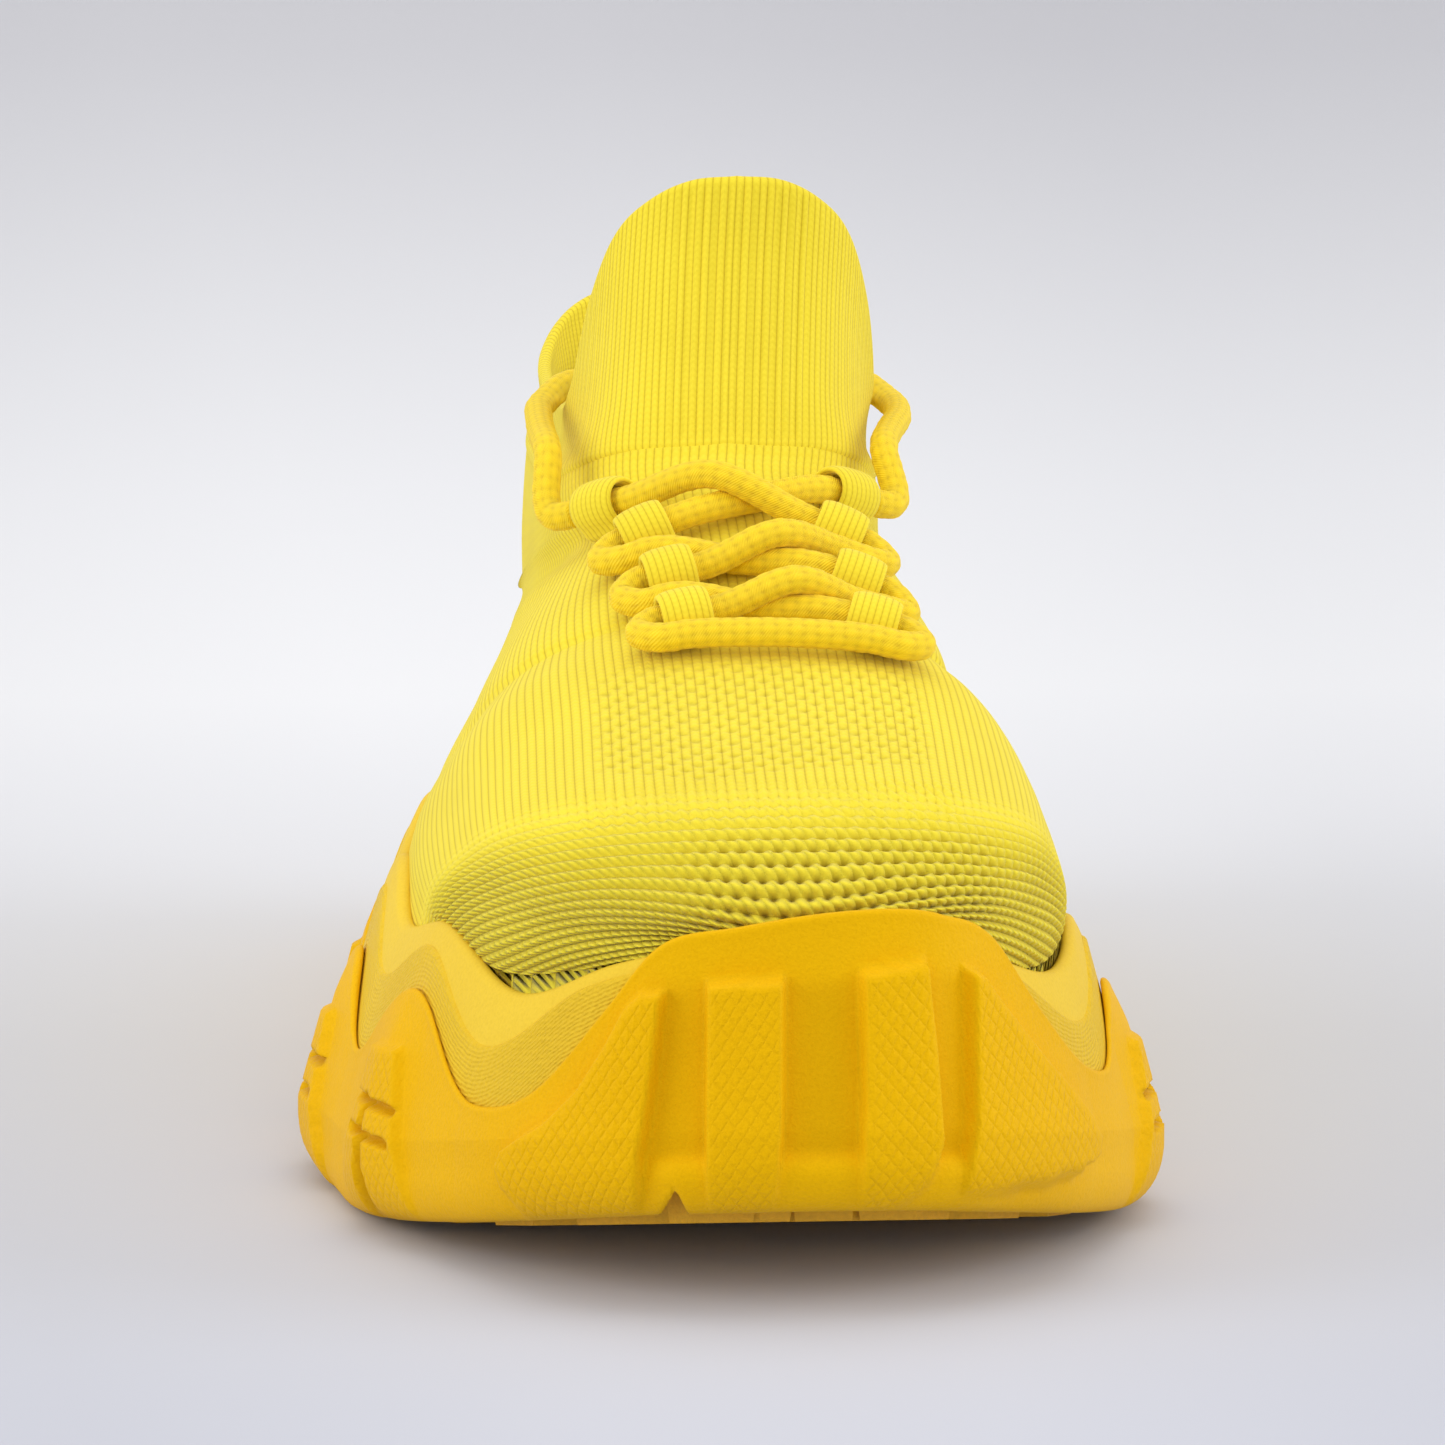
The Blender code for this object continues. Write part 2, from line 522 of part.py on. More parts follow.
def build_shank(midsole, material):
    """The stiffener under the arch, in a pocket cut into the footbed."""
    length, width, thick = 84.0, 24.0, 1.6
    middle_y = 34.0
    rise = spline(FOOTBED, [middle_y - length / 2, middle_y + length / 2])
    slope = math.atan2(rise[1] - rise[0], length)
    lowest = float(np.mean(rise))
    pieces = []
    for name, grow in (("arch_shank", 0.0), ("shank_pocket", GAP)):
        bm = bmesh.new()
        bmesh.ops.create_cube(bm, size=1.0)
        height = thick + (8.0 if grow else 0.0)
        size = Vector((width + 2 * grow, length + 2 * grow, height + grow))
        bmesh.ops.scale(bm, vec=size, verts=bm.verts)
        edges = [e for e in bm.edges if abs(e.verts[0].co.z - e.verts[1].co.z) > 1e-6]
        bmesh.ops.bevel(bm, geom=edges, offset=6.0, segments=3, affect="EDGES")
        bmesh.ops.translate(bm, vec=(0, 0, (height - grow) / 2), verts=bm.verts)
        obj = add_object(name, bm, material)
        obj.location = Vector((-1.5, middle_y, lowest - thick - 1.6)) * MM
        obj.rotation_euler = (slope, 0, 0)
        pieces.append(obj)
    shank, pocket = pieces
    pocket.hide_render = True
    pocket.display_type = "WIRE"
    cut = midsole.modifiers.new("shank_pocket", "BOOLEAN")
    cut.operation = "DIFFERENCE"
    cut.object = pocket
    return shank


# ---------------------------------------------------------------- the lacing


class LacingBed:
    """Heights of the upper's outer surface, found by casting down onto it."""

    def __init__(self):
        us, vs = np.linspace(0.3, 0.9, 61), np.linspace(-0.6, 0.6, 49)
        uu, vv = np.meshgrid(us, vs, indexing="ij")
        points = upper_surface(uu.ravel(), vv.ravel())
        n = len(vs)
        faces = [(i * n + k, i * n + k + 1, (i + 1) * n + k + 1, (i + 1) * n + k)
                 for i in range(len(us) - 1) for k in range(n - 1)]
        self.tree = BVHTree.FromPolygons([Vector(p) for p in points], faces)

    def on(self, x, y, lift):
        """The point that is lift off the surface, over (x, y), and the surface's normal."""
        place, normal, _, _ = self.tree.ray_cast(Vector((x, y, 300.0)), Vector((0, 0, -1)))
        normal = normal if normal.z > 0 else -normal
        return place + normal * lift, normal


def loop_frame(bed, row, side):
    """A lace loop's centre, and its directions along the tunnel outwards, forwards and up."""
    place, middle, across = LOOP_ROWS[row]
    centre, up = bed.on(middle + side * across, place, TUNNEL_RADIUS + 2 * GAP)
    axis = Vector((side * 0.86, 0.5 if row == 3 else -0.16, 0.0))
    axis = (axis - up * axis.dot(up)).normalized()
    fore = axis.cross(up).normalized()
    return centre, axis, fore, up


def webbing_loop(name, frame, material):
    """A webbing tunnel for the lace, stitched down fore and aft of it."""
    centre, axis, fore, up = frame
    section = []
    for radius, reverse in ((TUNNEL_RADIUS + WEBBING_THICK, False), (TUNNEL_RADIUS, True)):
        arc = [(radius * math.cos(a), radius * math.sin(a)) for a in np.linspace(0, PI, 7)]
        legs = [(radius, -TUNNEL_RADIUS), *arc, (-radius, -TUNNEL_RADIUS)]
        section += legs[::-1] if reverse else legs
    bm = bmesh.new()
    ends = []
    for side in (-0.5, 0.5):
        ends.append([bm.verts.new(centre + axis * side * LOOP_WIDTH + fore * a + up * b)
                     for a, b in section])
    count = len(section)
    for i in range(count):
        j = (i + 1) % count
        bm.faces.new((ends[0][i], ends[0][j], ends[1][j], ends[1][i]))
    for end in ends:
        for i in range(count // 2 - 1):
            bm.faces.new((end[i], end[i + 1], end[count - i - 2], end[count - i - 1]))
    return add_object(name, bm, material)


def build_loops(bed, material):
    for side, word in ((-1, "lateral"), (1, "medial")):
        for row in range(4):
            webbing_loop(f"lace_loop_{word}_{row + 1}", loop_frame(bed, row, side), material)


def tunnel_points(bed, row, side):
    """The lace inside a loop, from its inner end to its outer end."""
    centre, axis, _, _ = loop_frame(bed, row, side)
    return [centre - axis * TUNNEL_REACH, centre, centre + axis * TUNNEL_REACH]


def turn_points(bed, row, side):
    """The lace's turn round the outer end of a loop, from its outer end to in front of it."""
    place, middle, across = LOOP_ROWS[row]
    steps = [(LOOP_WIDTH / 2 + 3.4, 0.5), (LOOP_WIDTH / 2 + 1.0, 1.0), (0.0, 1.06)]
    return [bed.on(middle + side * (across + out), place - LACE_PITCH * back, LACE_REST)[0]
            for out, back in steps]


def crossing_points(bed, start, end, lift):
    """Points of a strand round the place where it passes over or under another."""
    shape = ((0.4, 0.7), (0.45, 0.92), (0.5, 1.0), (0.55, 0.92), (0.6, 0.7))
    flat = [(start + (end - start) * share, height) for share, height in shape]
    return [bed.on(p.x, p.y, LACE_REST + (lift - LACE_REST) * height)[0] for p, height in flat]


def lace_route(bed):
    """The lace from the lateral top loop down the crossings to the toe end and back up."""
    under = LACE_RADIUS + GAP + 0.1
    over = under + 2 * LACE_RADIUS + GAP
    ways = [(-1, 3), (1, 2), (-1, 1), (1, 0), (-1, 0), (1, 1), (-1, 2), (1, 3)]
    lifts = [over, over, under, None, over, under, under]
    route = tunnel_points(bed, 3, -1)[::-1]
    for (side, row), lift in zip(ways[1:], lifts):
        inward = ways.index((side, row)) >= 4
        stretch = tunnel_points(bed, row, side)
        if row < 3:
            stretch += turn_points(bed, row, side)
            if inward:
                stretch.reverse()
        if lift is None:
            start, end = route[-1], stretch[0]
            shares = (0.35, 0.65)
            flat = [start + (end - start) * share for share in shares]
            route += [bed.on(p.x, p.y, LACE_REST)[0] for p in flat]
        else:
            route += crossing_points(bed, route[-1], stretch[0], lift)
        route += stretch
    return route


def free_end_route(bed, side):
    """A free end of the lace: out of its top loop, over the collar's side and into the shoe."""
    centre, axis, _, up = loop_frame(bed, 3, side)
    start = centre + axis * (TUNNEL_REACH + 3 * GAP)
    exits = [start, start + axis * 4.6 + up * 0.6]
    floor = [spline(FOOTBED, [y])[0] + INSOLE_TOP + LACE_RADIUS + 1.8 for y in LACE_REST_Y]
    rows = [(2.8, 25.8, 1.5, 99.8), (3.6, 26.4, 14.0, 102.2),
            (5.0, 27.2, 30.0, 104.2), (5.4, 26.2, 38.0, 106.2), (5.6, 20.4, 46.0, 106.4),
            (5.0, 13.8, 51.5, 101.0), (4.4, 11.4, 53.5, 90.0), (4.0, 11.0, 54.0, 70.0),
            (4.0, 11.6, 55.0, floor[0] + 8.0),
            (4.0, 12.2, LACE_REST_Y[0] + 4.0, floor[0]), (4.0, 12.6, LACE_REST_Y[1], floor[1]),
            (4.0, 10.0, LACE_REST_Y[2], floor[2]), (4.0, 5.6, LACE_REST_Y[3], floor[3])]
    rest = [(middle + side * out, y, z) for middle, out, y, z in rows]
    return resample([tuple(p) for p in exits] + rest, 1.0)


def build_free_end(bed, word, side, cord, plastic):
    """A free lace end, and the hard tip on it."""
    fine = free_end_route(bed, side)
    tip = int(AGLET_LENGTH)
    shaft = resample(fine[:-tip - 1], 8.0)
    tube(f"lace_end_{word}", shaft, LACE_RADIUS, cord)
    tube(f"aglet_{word}", resample(fine[-tip:], 6.0), AGLET_RADIUS, plastic)


def main():
    for obj in list(bpy.data.objects):
        bpy.data.objects.remove(obj)
    foam = make_material("foam", (0.83, 0.56, 0.02), 0.62)
    rubber = make_material("rubber", (0.75, 0.44, 0.01), 0.7)
    knit = make_material("knit", (0.88, 0.75, 0.06), 0.9)
    board = make_material("board", (0.72, 0.68, 0.58), 0.9)
    lining = make_material("lining", (0.86, 0.70, 0.05), 0.9)
    cord = make_material("cord", (0.86, 0.62, 0.01), 0.75)
    plastic = make_material("plastic", (0.80, 0.60, 0.05), 0.35)

    build_cage(foam)
    midsole = build_midsole(foam)
    build_rim(foam)
    build_outsole(rubber)
    build_shank(midsole, plastic)

    plate("lasting_board", GAP, BOARD_THICK, board)
    plate("insole", INSOLE_TOP - INSOLE_THICK, INSOLE_THICK, lining)

    across = np.concatenate([[-1 - SKIRT], np.linspace(-1, 1, 25), [1 + SKIRT]])
    along = np.array([0.0, 0.04, 0.08, 0.12, 0.16, 0.21, 0.27, 0.34, 0.42, 0.50, 0.56, 0.61,
                      0.65, 0.69, 0.715, HEEL_U, 0.77, 0.80, 0.825, COLLAR_U])
    upper_shell("knit_upper", along, across, 0.0, KNIT_THICK, knit, seam=-1)
    rising = np.concatenate([[COLLAR_U], np.linspace(0.87, 1.0, 7)])
    upper_shell("sock_collar", rising, np.linspace(-1, 1, 33), 0.0, KNIT_THICK, knit, seam=0)
    inside = KNIT_THICK + 0.8
    upper_shell("toe_puff", np.linspace(0.03, 0.19, 7), np.linspace(-0.9, 0.9, 15), inside,
                STIFFENER_THICK, plastic)
    upper_shell("heel_counter", np.linspace(0.76, 0.82, 4), np.linspace(-1, 1, 25), inside,
                STIFFENER_THICK, plastic)

    bed = LacingBed()
    build_loops(bed, knit)
    tube("lace_threaded", resample(lace_route(bed), 5.4), LACE_RADIUS, cord)
    for side, word in ((-1, "lateral"), (1, "medial")):
        build_free_end(bed, word, side, cord, plastic)


main()
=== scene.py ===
"""The looks of a right running shoe: a chunky waved sole, a knitted upper, a tall sock collar and lacing.

Shapes repeat the CAD source's own functions, in millimetres, and become metres when a mesh is made.
theta runs round the sole's edge from the toe (0) down the lateral side to the heel (pi) and back.
u runs over the upper from the toe tip (0) to the collar's rim (1), v across it from -1 to 1.
"""

import math

import bmesh
import bpy
import numpy as np
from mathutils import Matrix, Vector
from mathutils.bvhtree import BVHTree


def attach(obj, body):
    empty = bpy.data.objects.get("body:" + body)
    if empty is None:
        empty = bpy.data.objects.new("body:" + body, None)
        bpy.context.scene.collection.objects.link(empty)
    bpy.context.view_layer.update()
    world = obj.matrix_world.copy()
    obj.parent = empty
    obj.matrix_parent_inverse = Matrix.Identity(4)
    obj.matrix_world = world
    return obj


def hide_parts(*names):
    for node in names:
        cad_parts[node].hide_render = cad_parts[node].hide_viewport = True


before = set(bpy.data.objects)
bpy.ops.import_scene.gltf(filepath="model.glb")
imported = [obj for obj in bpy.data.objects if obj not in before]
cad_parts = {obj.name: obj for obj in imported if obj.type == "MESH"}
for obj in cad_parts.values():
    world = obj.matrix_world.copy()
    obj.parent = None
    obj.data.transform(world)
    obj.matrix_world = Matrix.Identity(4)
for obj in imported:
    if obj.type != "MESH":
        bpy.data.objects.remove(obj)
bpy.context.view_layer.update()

MM = 0.001
PI = math.pi

# ---------------------------------------------------------------- dimensions, as in the CAD source

LENGTH = 290.0
GAP = 0.3
TOE_SPRING = 14.0
HEEL_RISE = 4.0
CAGE_WALL = 2.4
FLANGE = 9.0
FLANGE_THICK = 6.6
CAGE_FOOT = 8.6
BOTTOM_ROUND = 8.0
RIM_GROOVE = 6.0
MIDSOLE_INSET = CAGE_WALL + GAP
RIM_INSET = MIDSOLE_INSET + 1.0
RIM_WALL = 2.0
FEATHER_INSET = RIM_INSET + RIM_WALL + 1.2
EDGE_SLOPE = math.radians(79)
SKIRT = 0.2
INNER_INSET = 12.4
BOARD_THICK = 1.7
INSOLE_THICK = 4.0
KNIT_THICK = 2.2
LACE_RADIUS = 2.1
WEBBING_THICK = 0.7

LATERAL = [(-142.5, -14.0), (-133.0, -30.0), (-116.0, -43.0), (-95.0, -52.5), (-70.0, -59.0),
           (-46.0, -60.5), (-18.0, -57.0), (18.0, -48.5), (55.0, -40.5), (90.0, -37.0),
           (118.0, -32.0), (137.0, -20.0)]
MEDIAL = [(-142.5, 22.0), (-133.0, 36.5), (-116.0, 49.0), (-95.0, 57.5), (-70.0, 60.5),
          (-46.0, 57.5), (-18.0, 50.0), (18.0, 43.5), (55.0, 41.5), (90.0, 42.0),
          (118.0, 38.0), (137.0, 25.0)]
TOE_X = 4.0
HEEL_X = 2.5

CAGE_TOP = {"L": [(-144.5, 53.0), (-141.0, 49.0), (-137.5, 41.0), (-129.0, 28.0), (-118.0, 24.5),
                  (-92.0, 35.5), (-71.0, 23.0), (-50.0, 34.0), (-29.0, 24.0), (-8.0, 36.0), (14.0, 25.5),
                  (36.0, 38.5), (58.0, 28.0), (80.0, 42.5), (104.0, 34.0), (134.0, 56.0), (145.0, 59.0)],
            "M": [(-140.0, 53.5), (-132.5, 48.7), (-126.5, 39.5), (-117.5, 30.0), (-106.0, 25.5),
                  (-85.0, 34.5), (-63.0, 23.0), (-42.0, 34.0), (-20.0, 24.0), (2.0, 36.0), (24.0, 25.5),
                  (46.0, 38.5), (67.0, 28.5), (88.0, 43.0), (108.0, 35.0), (134.0, 56.0)]}
MIDSOLE_TOP = {"L": [(-145.0, 48.0), (-134.0, 43.0), (-117.0, 32.2), (-92.0, 41.5), (-71.0, 34.0),
                     (-50.0, 43.0), (-29.0, 35.5), (-8.0, 45.0), (14.0, 37.0), (36.0, 47.5), (58.0, 40.5),
                     (80.0, 50.5), (104.0, 46.0), (145.0, 56.5)],
               "M": [(-130.0, 44.0), (-108.0, 33.0), (-85.0, 40.5), (-63.0, 33.5), (-42.0, 43.0),
                     (-20.0, 35.5), (2.0, 45.0), (24.0, 37.5), (46.0, 48.0), (67.0, 41.5), (88.0, 51.0),
                     (108.0, 47.0)]}
RIM_TOP = {"L": [(-145.0, 50.5), (-137.0, 46.5), (-122.0, 40.0), (-92.0, 44.6), (-71.0, 41.0),
                 (-50.0, 47.0), (-29.0, 44.0), (-8.0, 49.5), (14.0, 46.5), (36.0, 52.5), (58.0, 50.0),
                 (80.0, 55.5), (104.0, 54.0), (145.0, 60.5)],
           "M": [(-134.0, 47.0), (-112.0, 40.5), (-85.0, 43.5), (-63.0, 41.0), (-42.0, 47.0),
                 (-20.0, 44.0), (2.0, 49.5), (24.0, 46.5), (46.0, 52.5), (67.0, 50.5), (88.0, 56.0),
                 (108.0, 54.5)]}
FOOTBED = [(-145.0, 32.5), (-130.0, 29.0), (-113.0, 26.0), (-90.0, 25.0), (-60.0, 25.5),
           (-20.0, 28.0), (20.0, 32.0), (60.0, 37.0), (100.0, 40.0), (145.0, 40.5)]
WALL_LEAN = [(0.0, 0.17), (0.6, 0.22), (1.1, 0.28), (1.6, 0.25), (2.2, 0.17), (PI, 0.15),
             (4.1, 0.17), (4.7, 0.25), (5.2, 0.28), (5.7, 0.22)]

TOP_LINE = [(0.0, -134.0, 49.0), (0.06, -134.0, 54.0), (0.11, -131.6, 57.6), (0.15, -128.0, 60.6),
            (0.20, -121.5, 63.6), (0.30, -106.0, 67.8), (0.40, -87.0, 72.0), (0.50, -66.0, 77.5),
            (0.58, -48.0, 83.0), (0.64, -34.0, 88.5), (0.70, -23.0, 93.2), (0.74, -17.0, 96.0),
            (0.80, -11.5, 99.0), (0.85, -8.0, 102.0), (0.88, -4.6, 108.0), (0.92, 0.5, 117.0),
            (0.96, 5.5, 128.5), (1.0, 8.5, 139.0)]
EDGE_LINE = [(0.0, 0.0), (0.06, 0.24), (0.11, 0.42), (0.15, 0.55), (0.20, 0.68), (0.30, 0.86),
             (0.40, 1.02), (0.50, 1.22), (0.58, 1.52), (0.64, 1.88), (0.70, 2.48), (0.74, PI)]
EDGE_HEIGHT = [(-145.0, 49.0), (-130.0, 44.6), (-118.0, 42.0), (-92.0, 43.2), (-60.0, 44.8),
               (-29.0, 46.8), (14.0, 50.4), (58.0, 53.8), (104.0, 55.6), (145.0, 59.4)]
HEEL_U = 0.74
HEEL_LINE = [(0.74, 130.8, 59.4), (0.77, 131.6, 67.0), (0.80, 131.4, 77.0), (0.85, 127.4, 94.0),
             (0.88, 125.2, 99.0), (0.92, 125.0, 102.0), (1.0, 127.0, 110.5)]
HALF_WIDTH = [(0.50, 38.6), (0.58, 36.0), (0.64, 31.2), (0.70, 28.0), (0.74, 27.0),
              (0.80, 26.4), (0.85, 25.2), (0.88, 24.0), (0.92, 23.0), (1.0, 23.0)]
TOP_X = [(0.0, 4.0), (0.3, 3.6), (0.5, 4.6), (0.64, 4.2), (0.8, 3.4), (0.88, 4.2), (1.0, 6.4)]
BOXINESS = [(0.0, 0.10), (0.3, 0.10), (0.5, 0.085), (0.7, 0.08), (0.85, 0.13), (1.0, 0.16)]
COLLAR_U = 0.85
JOIN_RING = [(0, 102.0), (25, 100.0), (50, 94.0), (80, 90.0), (110, 88.5), (150, 92.0), (180, 94.0)]
RIM_RING = [(0, 139.0), (10, 138.3), (19, 135.6), (30, 129.5), (40, 119.0), (50, 107.5), (62, 101.5),
            (80, 98.5), (105, 97.5), (130, 100.0), (158, 107.5), (180, 110.5)]

LOOP_ROWS = [(-56.0, 7.6, 13.0), (-42.5, 6.2, 12.8), (-28.4, 4.4, 13.0), (-12.5, 3.2, 15.6)]
LOOP_WIDTH = 6.0
TUNNEL_REACH = LOOP_WIDTH / 2 + 2.2
TUNNEL_RADIUS = LACE_RADIUS + 0.7
LACE_REST = TUNNEL_RADIUS + 2 * GAP
LACE_REST_Y = (60.0, 78.0, 98.0, 112.0)
AGLET_LENGTH = 22.0
INSOLE_TOP = 2 * GAP + BOARD_THICK + INSOLE_THICK
LACE_PITCH = 5.8
CAST_FROM = 300.0  # height, above all of the shoe, from which the upper's surface is looked for

# ---------------------------------------------------------------- the camera


def make_camera():
    azimuth, elevation, distance = math.radians(-4.0), math.radians(9.5), 1.25
    aim = Vector((0.00365, 0.0, 0.0578))
    back = Vector((math.sin(azimuth) * math.cos(elevation),
                   -math.cos(azimuth) * math.cos(elevation), math.sin(elevation)))
    data = bpy.data.cameras.new("camera")
    data.sensor_width = 36.0
    data.lens = 205.8
    data.clip_end = 30.0
    camera = bpy.data.objects.new("camera", data)
    camera.location = aim + back * distance
    camera.rotation_euler = (-back).to_track_quat("-Z", "Y").to_euler()
    bpy.context.scene.collection.objects.link(camera)
    bpy.context.scene.camera = camera


make_camera()

# ---------------------------------------------------------------- shape functions, as in the CAD source


def smooth(low, high, at):
    """0 below low, 1 above high and a smooth step between; low may be the higher of the two."""
    t = np.clip((at - low) / (high - low), 0, 1)
    return t * t * (3 - 2 * t)


def lengths(line):
    """The distance along a line of points from its first point to each of them."""
    return np.concatenate([[0], np.cumsum(np.linalg.norm(np.diff(line, axis=0), axis=1))])


def spline(knots, at, period=None):
    """The smooth curve through knots (place, value, ...), read at the places `at`."""
    knots = np.asarray(knots, float)
    places, values = knots[:, 0], knots[:, 1:]
    if period:
        at = np.mod(at, period)
        places = np.concatenate([places[-3:] - period, places, places[:3] + period])
        values = np.concatenate([values[-3:], values, values[:3]])
    at = np.atleast_1d(np.asarray(at, float))
    slopes = np.gradient(values, places, axis=0)
    i = np.clip(np.searchsorted(places, at, "right") - 1, 0, len(places) - 2)
    step = (places[i + 1] - places[i])[:, None]
    t = np.clip((at - places[i])[:, None] / step, 0.0, 1.0)
    a, b, da, db = values[i], values[i + 1], slopes[i] * step, slopes[i + 1] * step
    found = a + t * (da + t * (3 * (b - a) - 2 * da - db + t * (2 * (a - b) + da + db)))
    return found[:, 0] if found.shape[1] == 1 else found


def theta_at(side, y):
    """The theta where the sole's edge passes y on the lateral (L) or medial (M) side."""
    theta = math.acos(max(-1.0, min(1.0, -2.0 * y / LENGTH)))
    return theta if side == "L" else 2 * PI - theta


def edge_knots(sides):
    """Knots (theta, value) from lists of (y, value) for the sides L and M."""
    return sorted((theta_at(side, y), value) for side, rows in sides.items() for y, value in rows)


OUTLINE = sorted([(0.0, TOE_X), (PI, HEEL_X)] + edge_knots({"L": LATERAL, "M": MEDIAL}))
CAGE_KNOTS = edge_knots(CAGE_TOP)
MIDSOLE_KNOTS = edge_knots(MIDSOLE_TOP)
RIM_KNOTS = edge_knots(RIM_TOP)


def outline(theta):
    """The sole's edge at its widest, as points (x, y)."""
    return np.stack([spline(OUTLINE, theta, 2 * PI), -LENGTH / 2 * np.cos(theta)], axis=1)


def inwards(theta):
    """The unit vectors that point into the sole from its edge."""
    step = 0.02
    along = outline(theta + step) - outline(theta - step)
    along /= np.linalg.norm(along, axis=1)[:, None]
    return np.stack([along[:, 1], -along[:, 0]], axis=1)


def ground(y):
    """Height of the sole's underside: flat in the middle, lifted at the toe and heel."""
    toe = np.clip((-72.0 - y) / 73.0, 0, None) ** 1.35 * TOE_SPRING
    heel = np.clip((y - 112.0) / 33.0, 0, None) ** 2 * HEEL_RISE
    return toe + heel


def wall(theta, z):
    """How far the sole's outer wall stands in from its edge at height z."""
    base = ground(outline(theta)[:, 1])
    return np.clip(z - base - 12.0, 0, None) * spline(WALL_LEAN, theta, 2 * PI)


def sole_ring(theta, inset, z):
    """Points inset from the sole's leaning wall, at the heights z."""
    flat = outline(theta) + inwards(theta) * (inset + wall(theta, z))[:, None]
    return np.column_stack([flat, z])


def footbed(theta):
    return spline(FOOTBED, outline(theta)[:, 1])


def upper_edge(theta, drop):
    """The line where the knit meets the sole, or below it: drop is 1 at the footbed."""
    y = outline(theta)[:, 1]
    high = spline(EDGE_HEIGHT, y)
    z = high + (footbed(theta) + 3.0 - high) * drop
    return sole_ring(theta, np.full_like(z, FEATHER_INSET), z)


def upper_section(u, half):
    """Half the width of each of the upper's sections, and the angle at which it ends."""
    slope = EDGE_SLOPE + (PI / 2 - EDGE_SLOPE) * np.clip((u - 0.46) / 0.08, 0, 1)
    widest = half / np.sin(slope)
    back = u > 0.54
    widest = np.where(back, np.maximum(spline(HALF_WIDTH, u), half), widest)
    widest = np.maximum(widest, 1e-6)
    reach = np.where(back, PI - np.arcsin(np.clip(half / widest, 0, 1)), slope)
    return widest, reach


def upper_surface(u, v):
    """Points (x, y, z) of the upper's outer surface at the arrays u and v."""
    top_y, top_z = spline(TOP_LINE, u).T
    edge_theta = np.clip(spline(EDGE_LINE, np.minimum(u, HEEL_U)), 0.0, PI)
    drop = np.clip((np.abs(v) - 1) / SKIRT, 0, 1)
    lateral = upper_edge(edge_theta, drop)
    medial = upper_edge(2 * PI - edge_theta, drop)
    closed = u > HEEL_U
    heel_y, heel_z = spline(HEEL_LINE, np.maximum(u, HEEL_U)).T
    half = np.where(closed, 0.0, (medial[:, 0] - lateral[:, 0]) / 2)
    end_x = np.where(closed, HEEL_X + 1.2, (medial[:, 0] + lateral[:, 0]) / 2)
    end_y = np.where(closed, heel_y, (medial[:, 1] + lateral[:, 1]) / 2)
    end_z = np.where(closed, heel_z, (medial[:, 2] + lateral[:, 2]) / 2)
    widest, reach = upper_section(u, half)
    angle = np.clip(v, -1, 1) * reach
    share = (1 - np.cos(angle)) / (1 - np.cos(reach))
    boxy = spline(BOXINESS, u)
    side = (np.sin(angle) + boxy * np.sin(3 * angle)) / (1 - boxy)
    end_side = (np.sin(reach) + boxy * np.sin(3 * reach)) / (1 - boxy)
    side += np.sign(v) * share ** 3 * (np.sin(reach) - end_side)
    x = spline(TOP_X, u) * (1 - share) + end_x * share + widest * side
    y = top_y * (1 - share) + end_y * share
    z = top_z * (1 - share) + end_z * share
    return np.stack([x, y, z + collar_dip(u, np.degrees(np.abs(angle)), share)], axis=1)


def collar_dip(u, degrees, share):
    """How far the rings near the collar leave the straight line from their front to their back."""
    join = spline(JOIN_RING, degrees) - (JOIN_RING[0][1] * (1 - share) + JOIN_RING[-1][1] * share)
    rim = spline(RIM_RING, degrees) - (RIM_RING[0][1] * (1 - share) + RIM_RING[-1][1] * share)
    to_join = smooth(0.60, COLLAR_U, u)
    to_rim = np.clip((u - COLLAR_U) / (1 - COLLAR_U), 0, 1)
    return join * to_join * (1 - to_rim) + rim * to_rim


def upper_offset(u, v, depth):
    """Points of the upper at a depth inside its outer surface; a negative depth is outside it."""
    step = 1e-3
    last = np.where(np.abs(v) > 1, HEEL_U - 1e-6, 1.0)
    u_low = np.clip(u - step, 0, last - 2 * step)
    u_high = u_low + 2 * step
    v_low = np.clip(v - step, -1 - SKIRT, 1 + SKIRT)
    v_high = np.clip(v + step, -1 - SKIRT, 1 + SKIRT)
    along_u = upper_surface(u_high, v) - upper_surface(u_low, v)
    near_v = np.clip(u, 0.004, 1)
    along_v = upper_surface(near_v, v_high) - upper_surface(near_v, v_low)
    normal = np.cross(along_v, along_u)
    normal /= np.maximum(np.linalg.norm(normal, axis=1), 1e-12)[:, None]
    return upper_surface(u, v) - normal * np.reshape(depth, (-1, 1))


class LacingBed:
    """Heights of the upper's outer surface, found by casting down onto it."""

    def __init__(self):
        us, vs = np.linspace(0.3, 0.9, 61), np.linspace(-0.6, 0.6, 49)
        uu, vv = np.meshgrid(us, vs, indexing="ij")
        points = upper_surface(uu.ravel(), vv.ravel())
        n = len(vs)
        faces = [(i * n + k, i * n + k + 1, (i + 1) * n + k + 1, (i + 1) * n + k)
                 for i in range(len(us) - 1) for k in range(n - 1)]
        self.tree = BVHTree.FromPolygons([Vector(p) for p in points], faces)

    def on(self, x, y, lift):
        place, normal, _, _ = self.tree.ray_cast(Vector((x, y, CAST_FROM)), Vector((0, 0, -1)))
        normal = normal if normal.z > 0 else -normal
        return place + normal * lift, normal


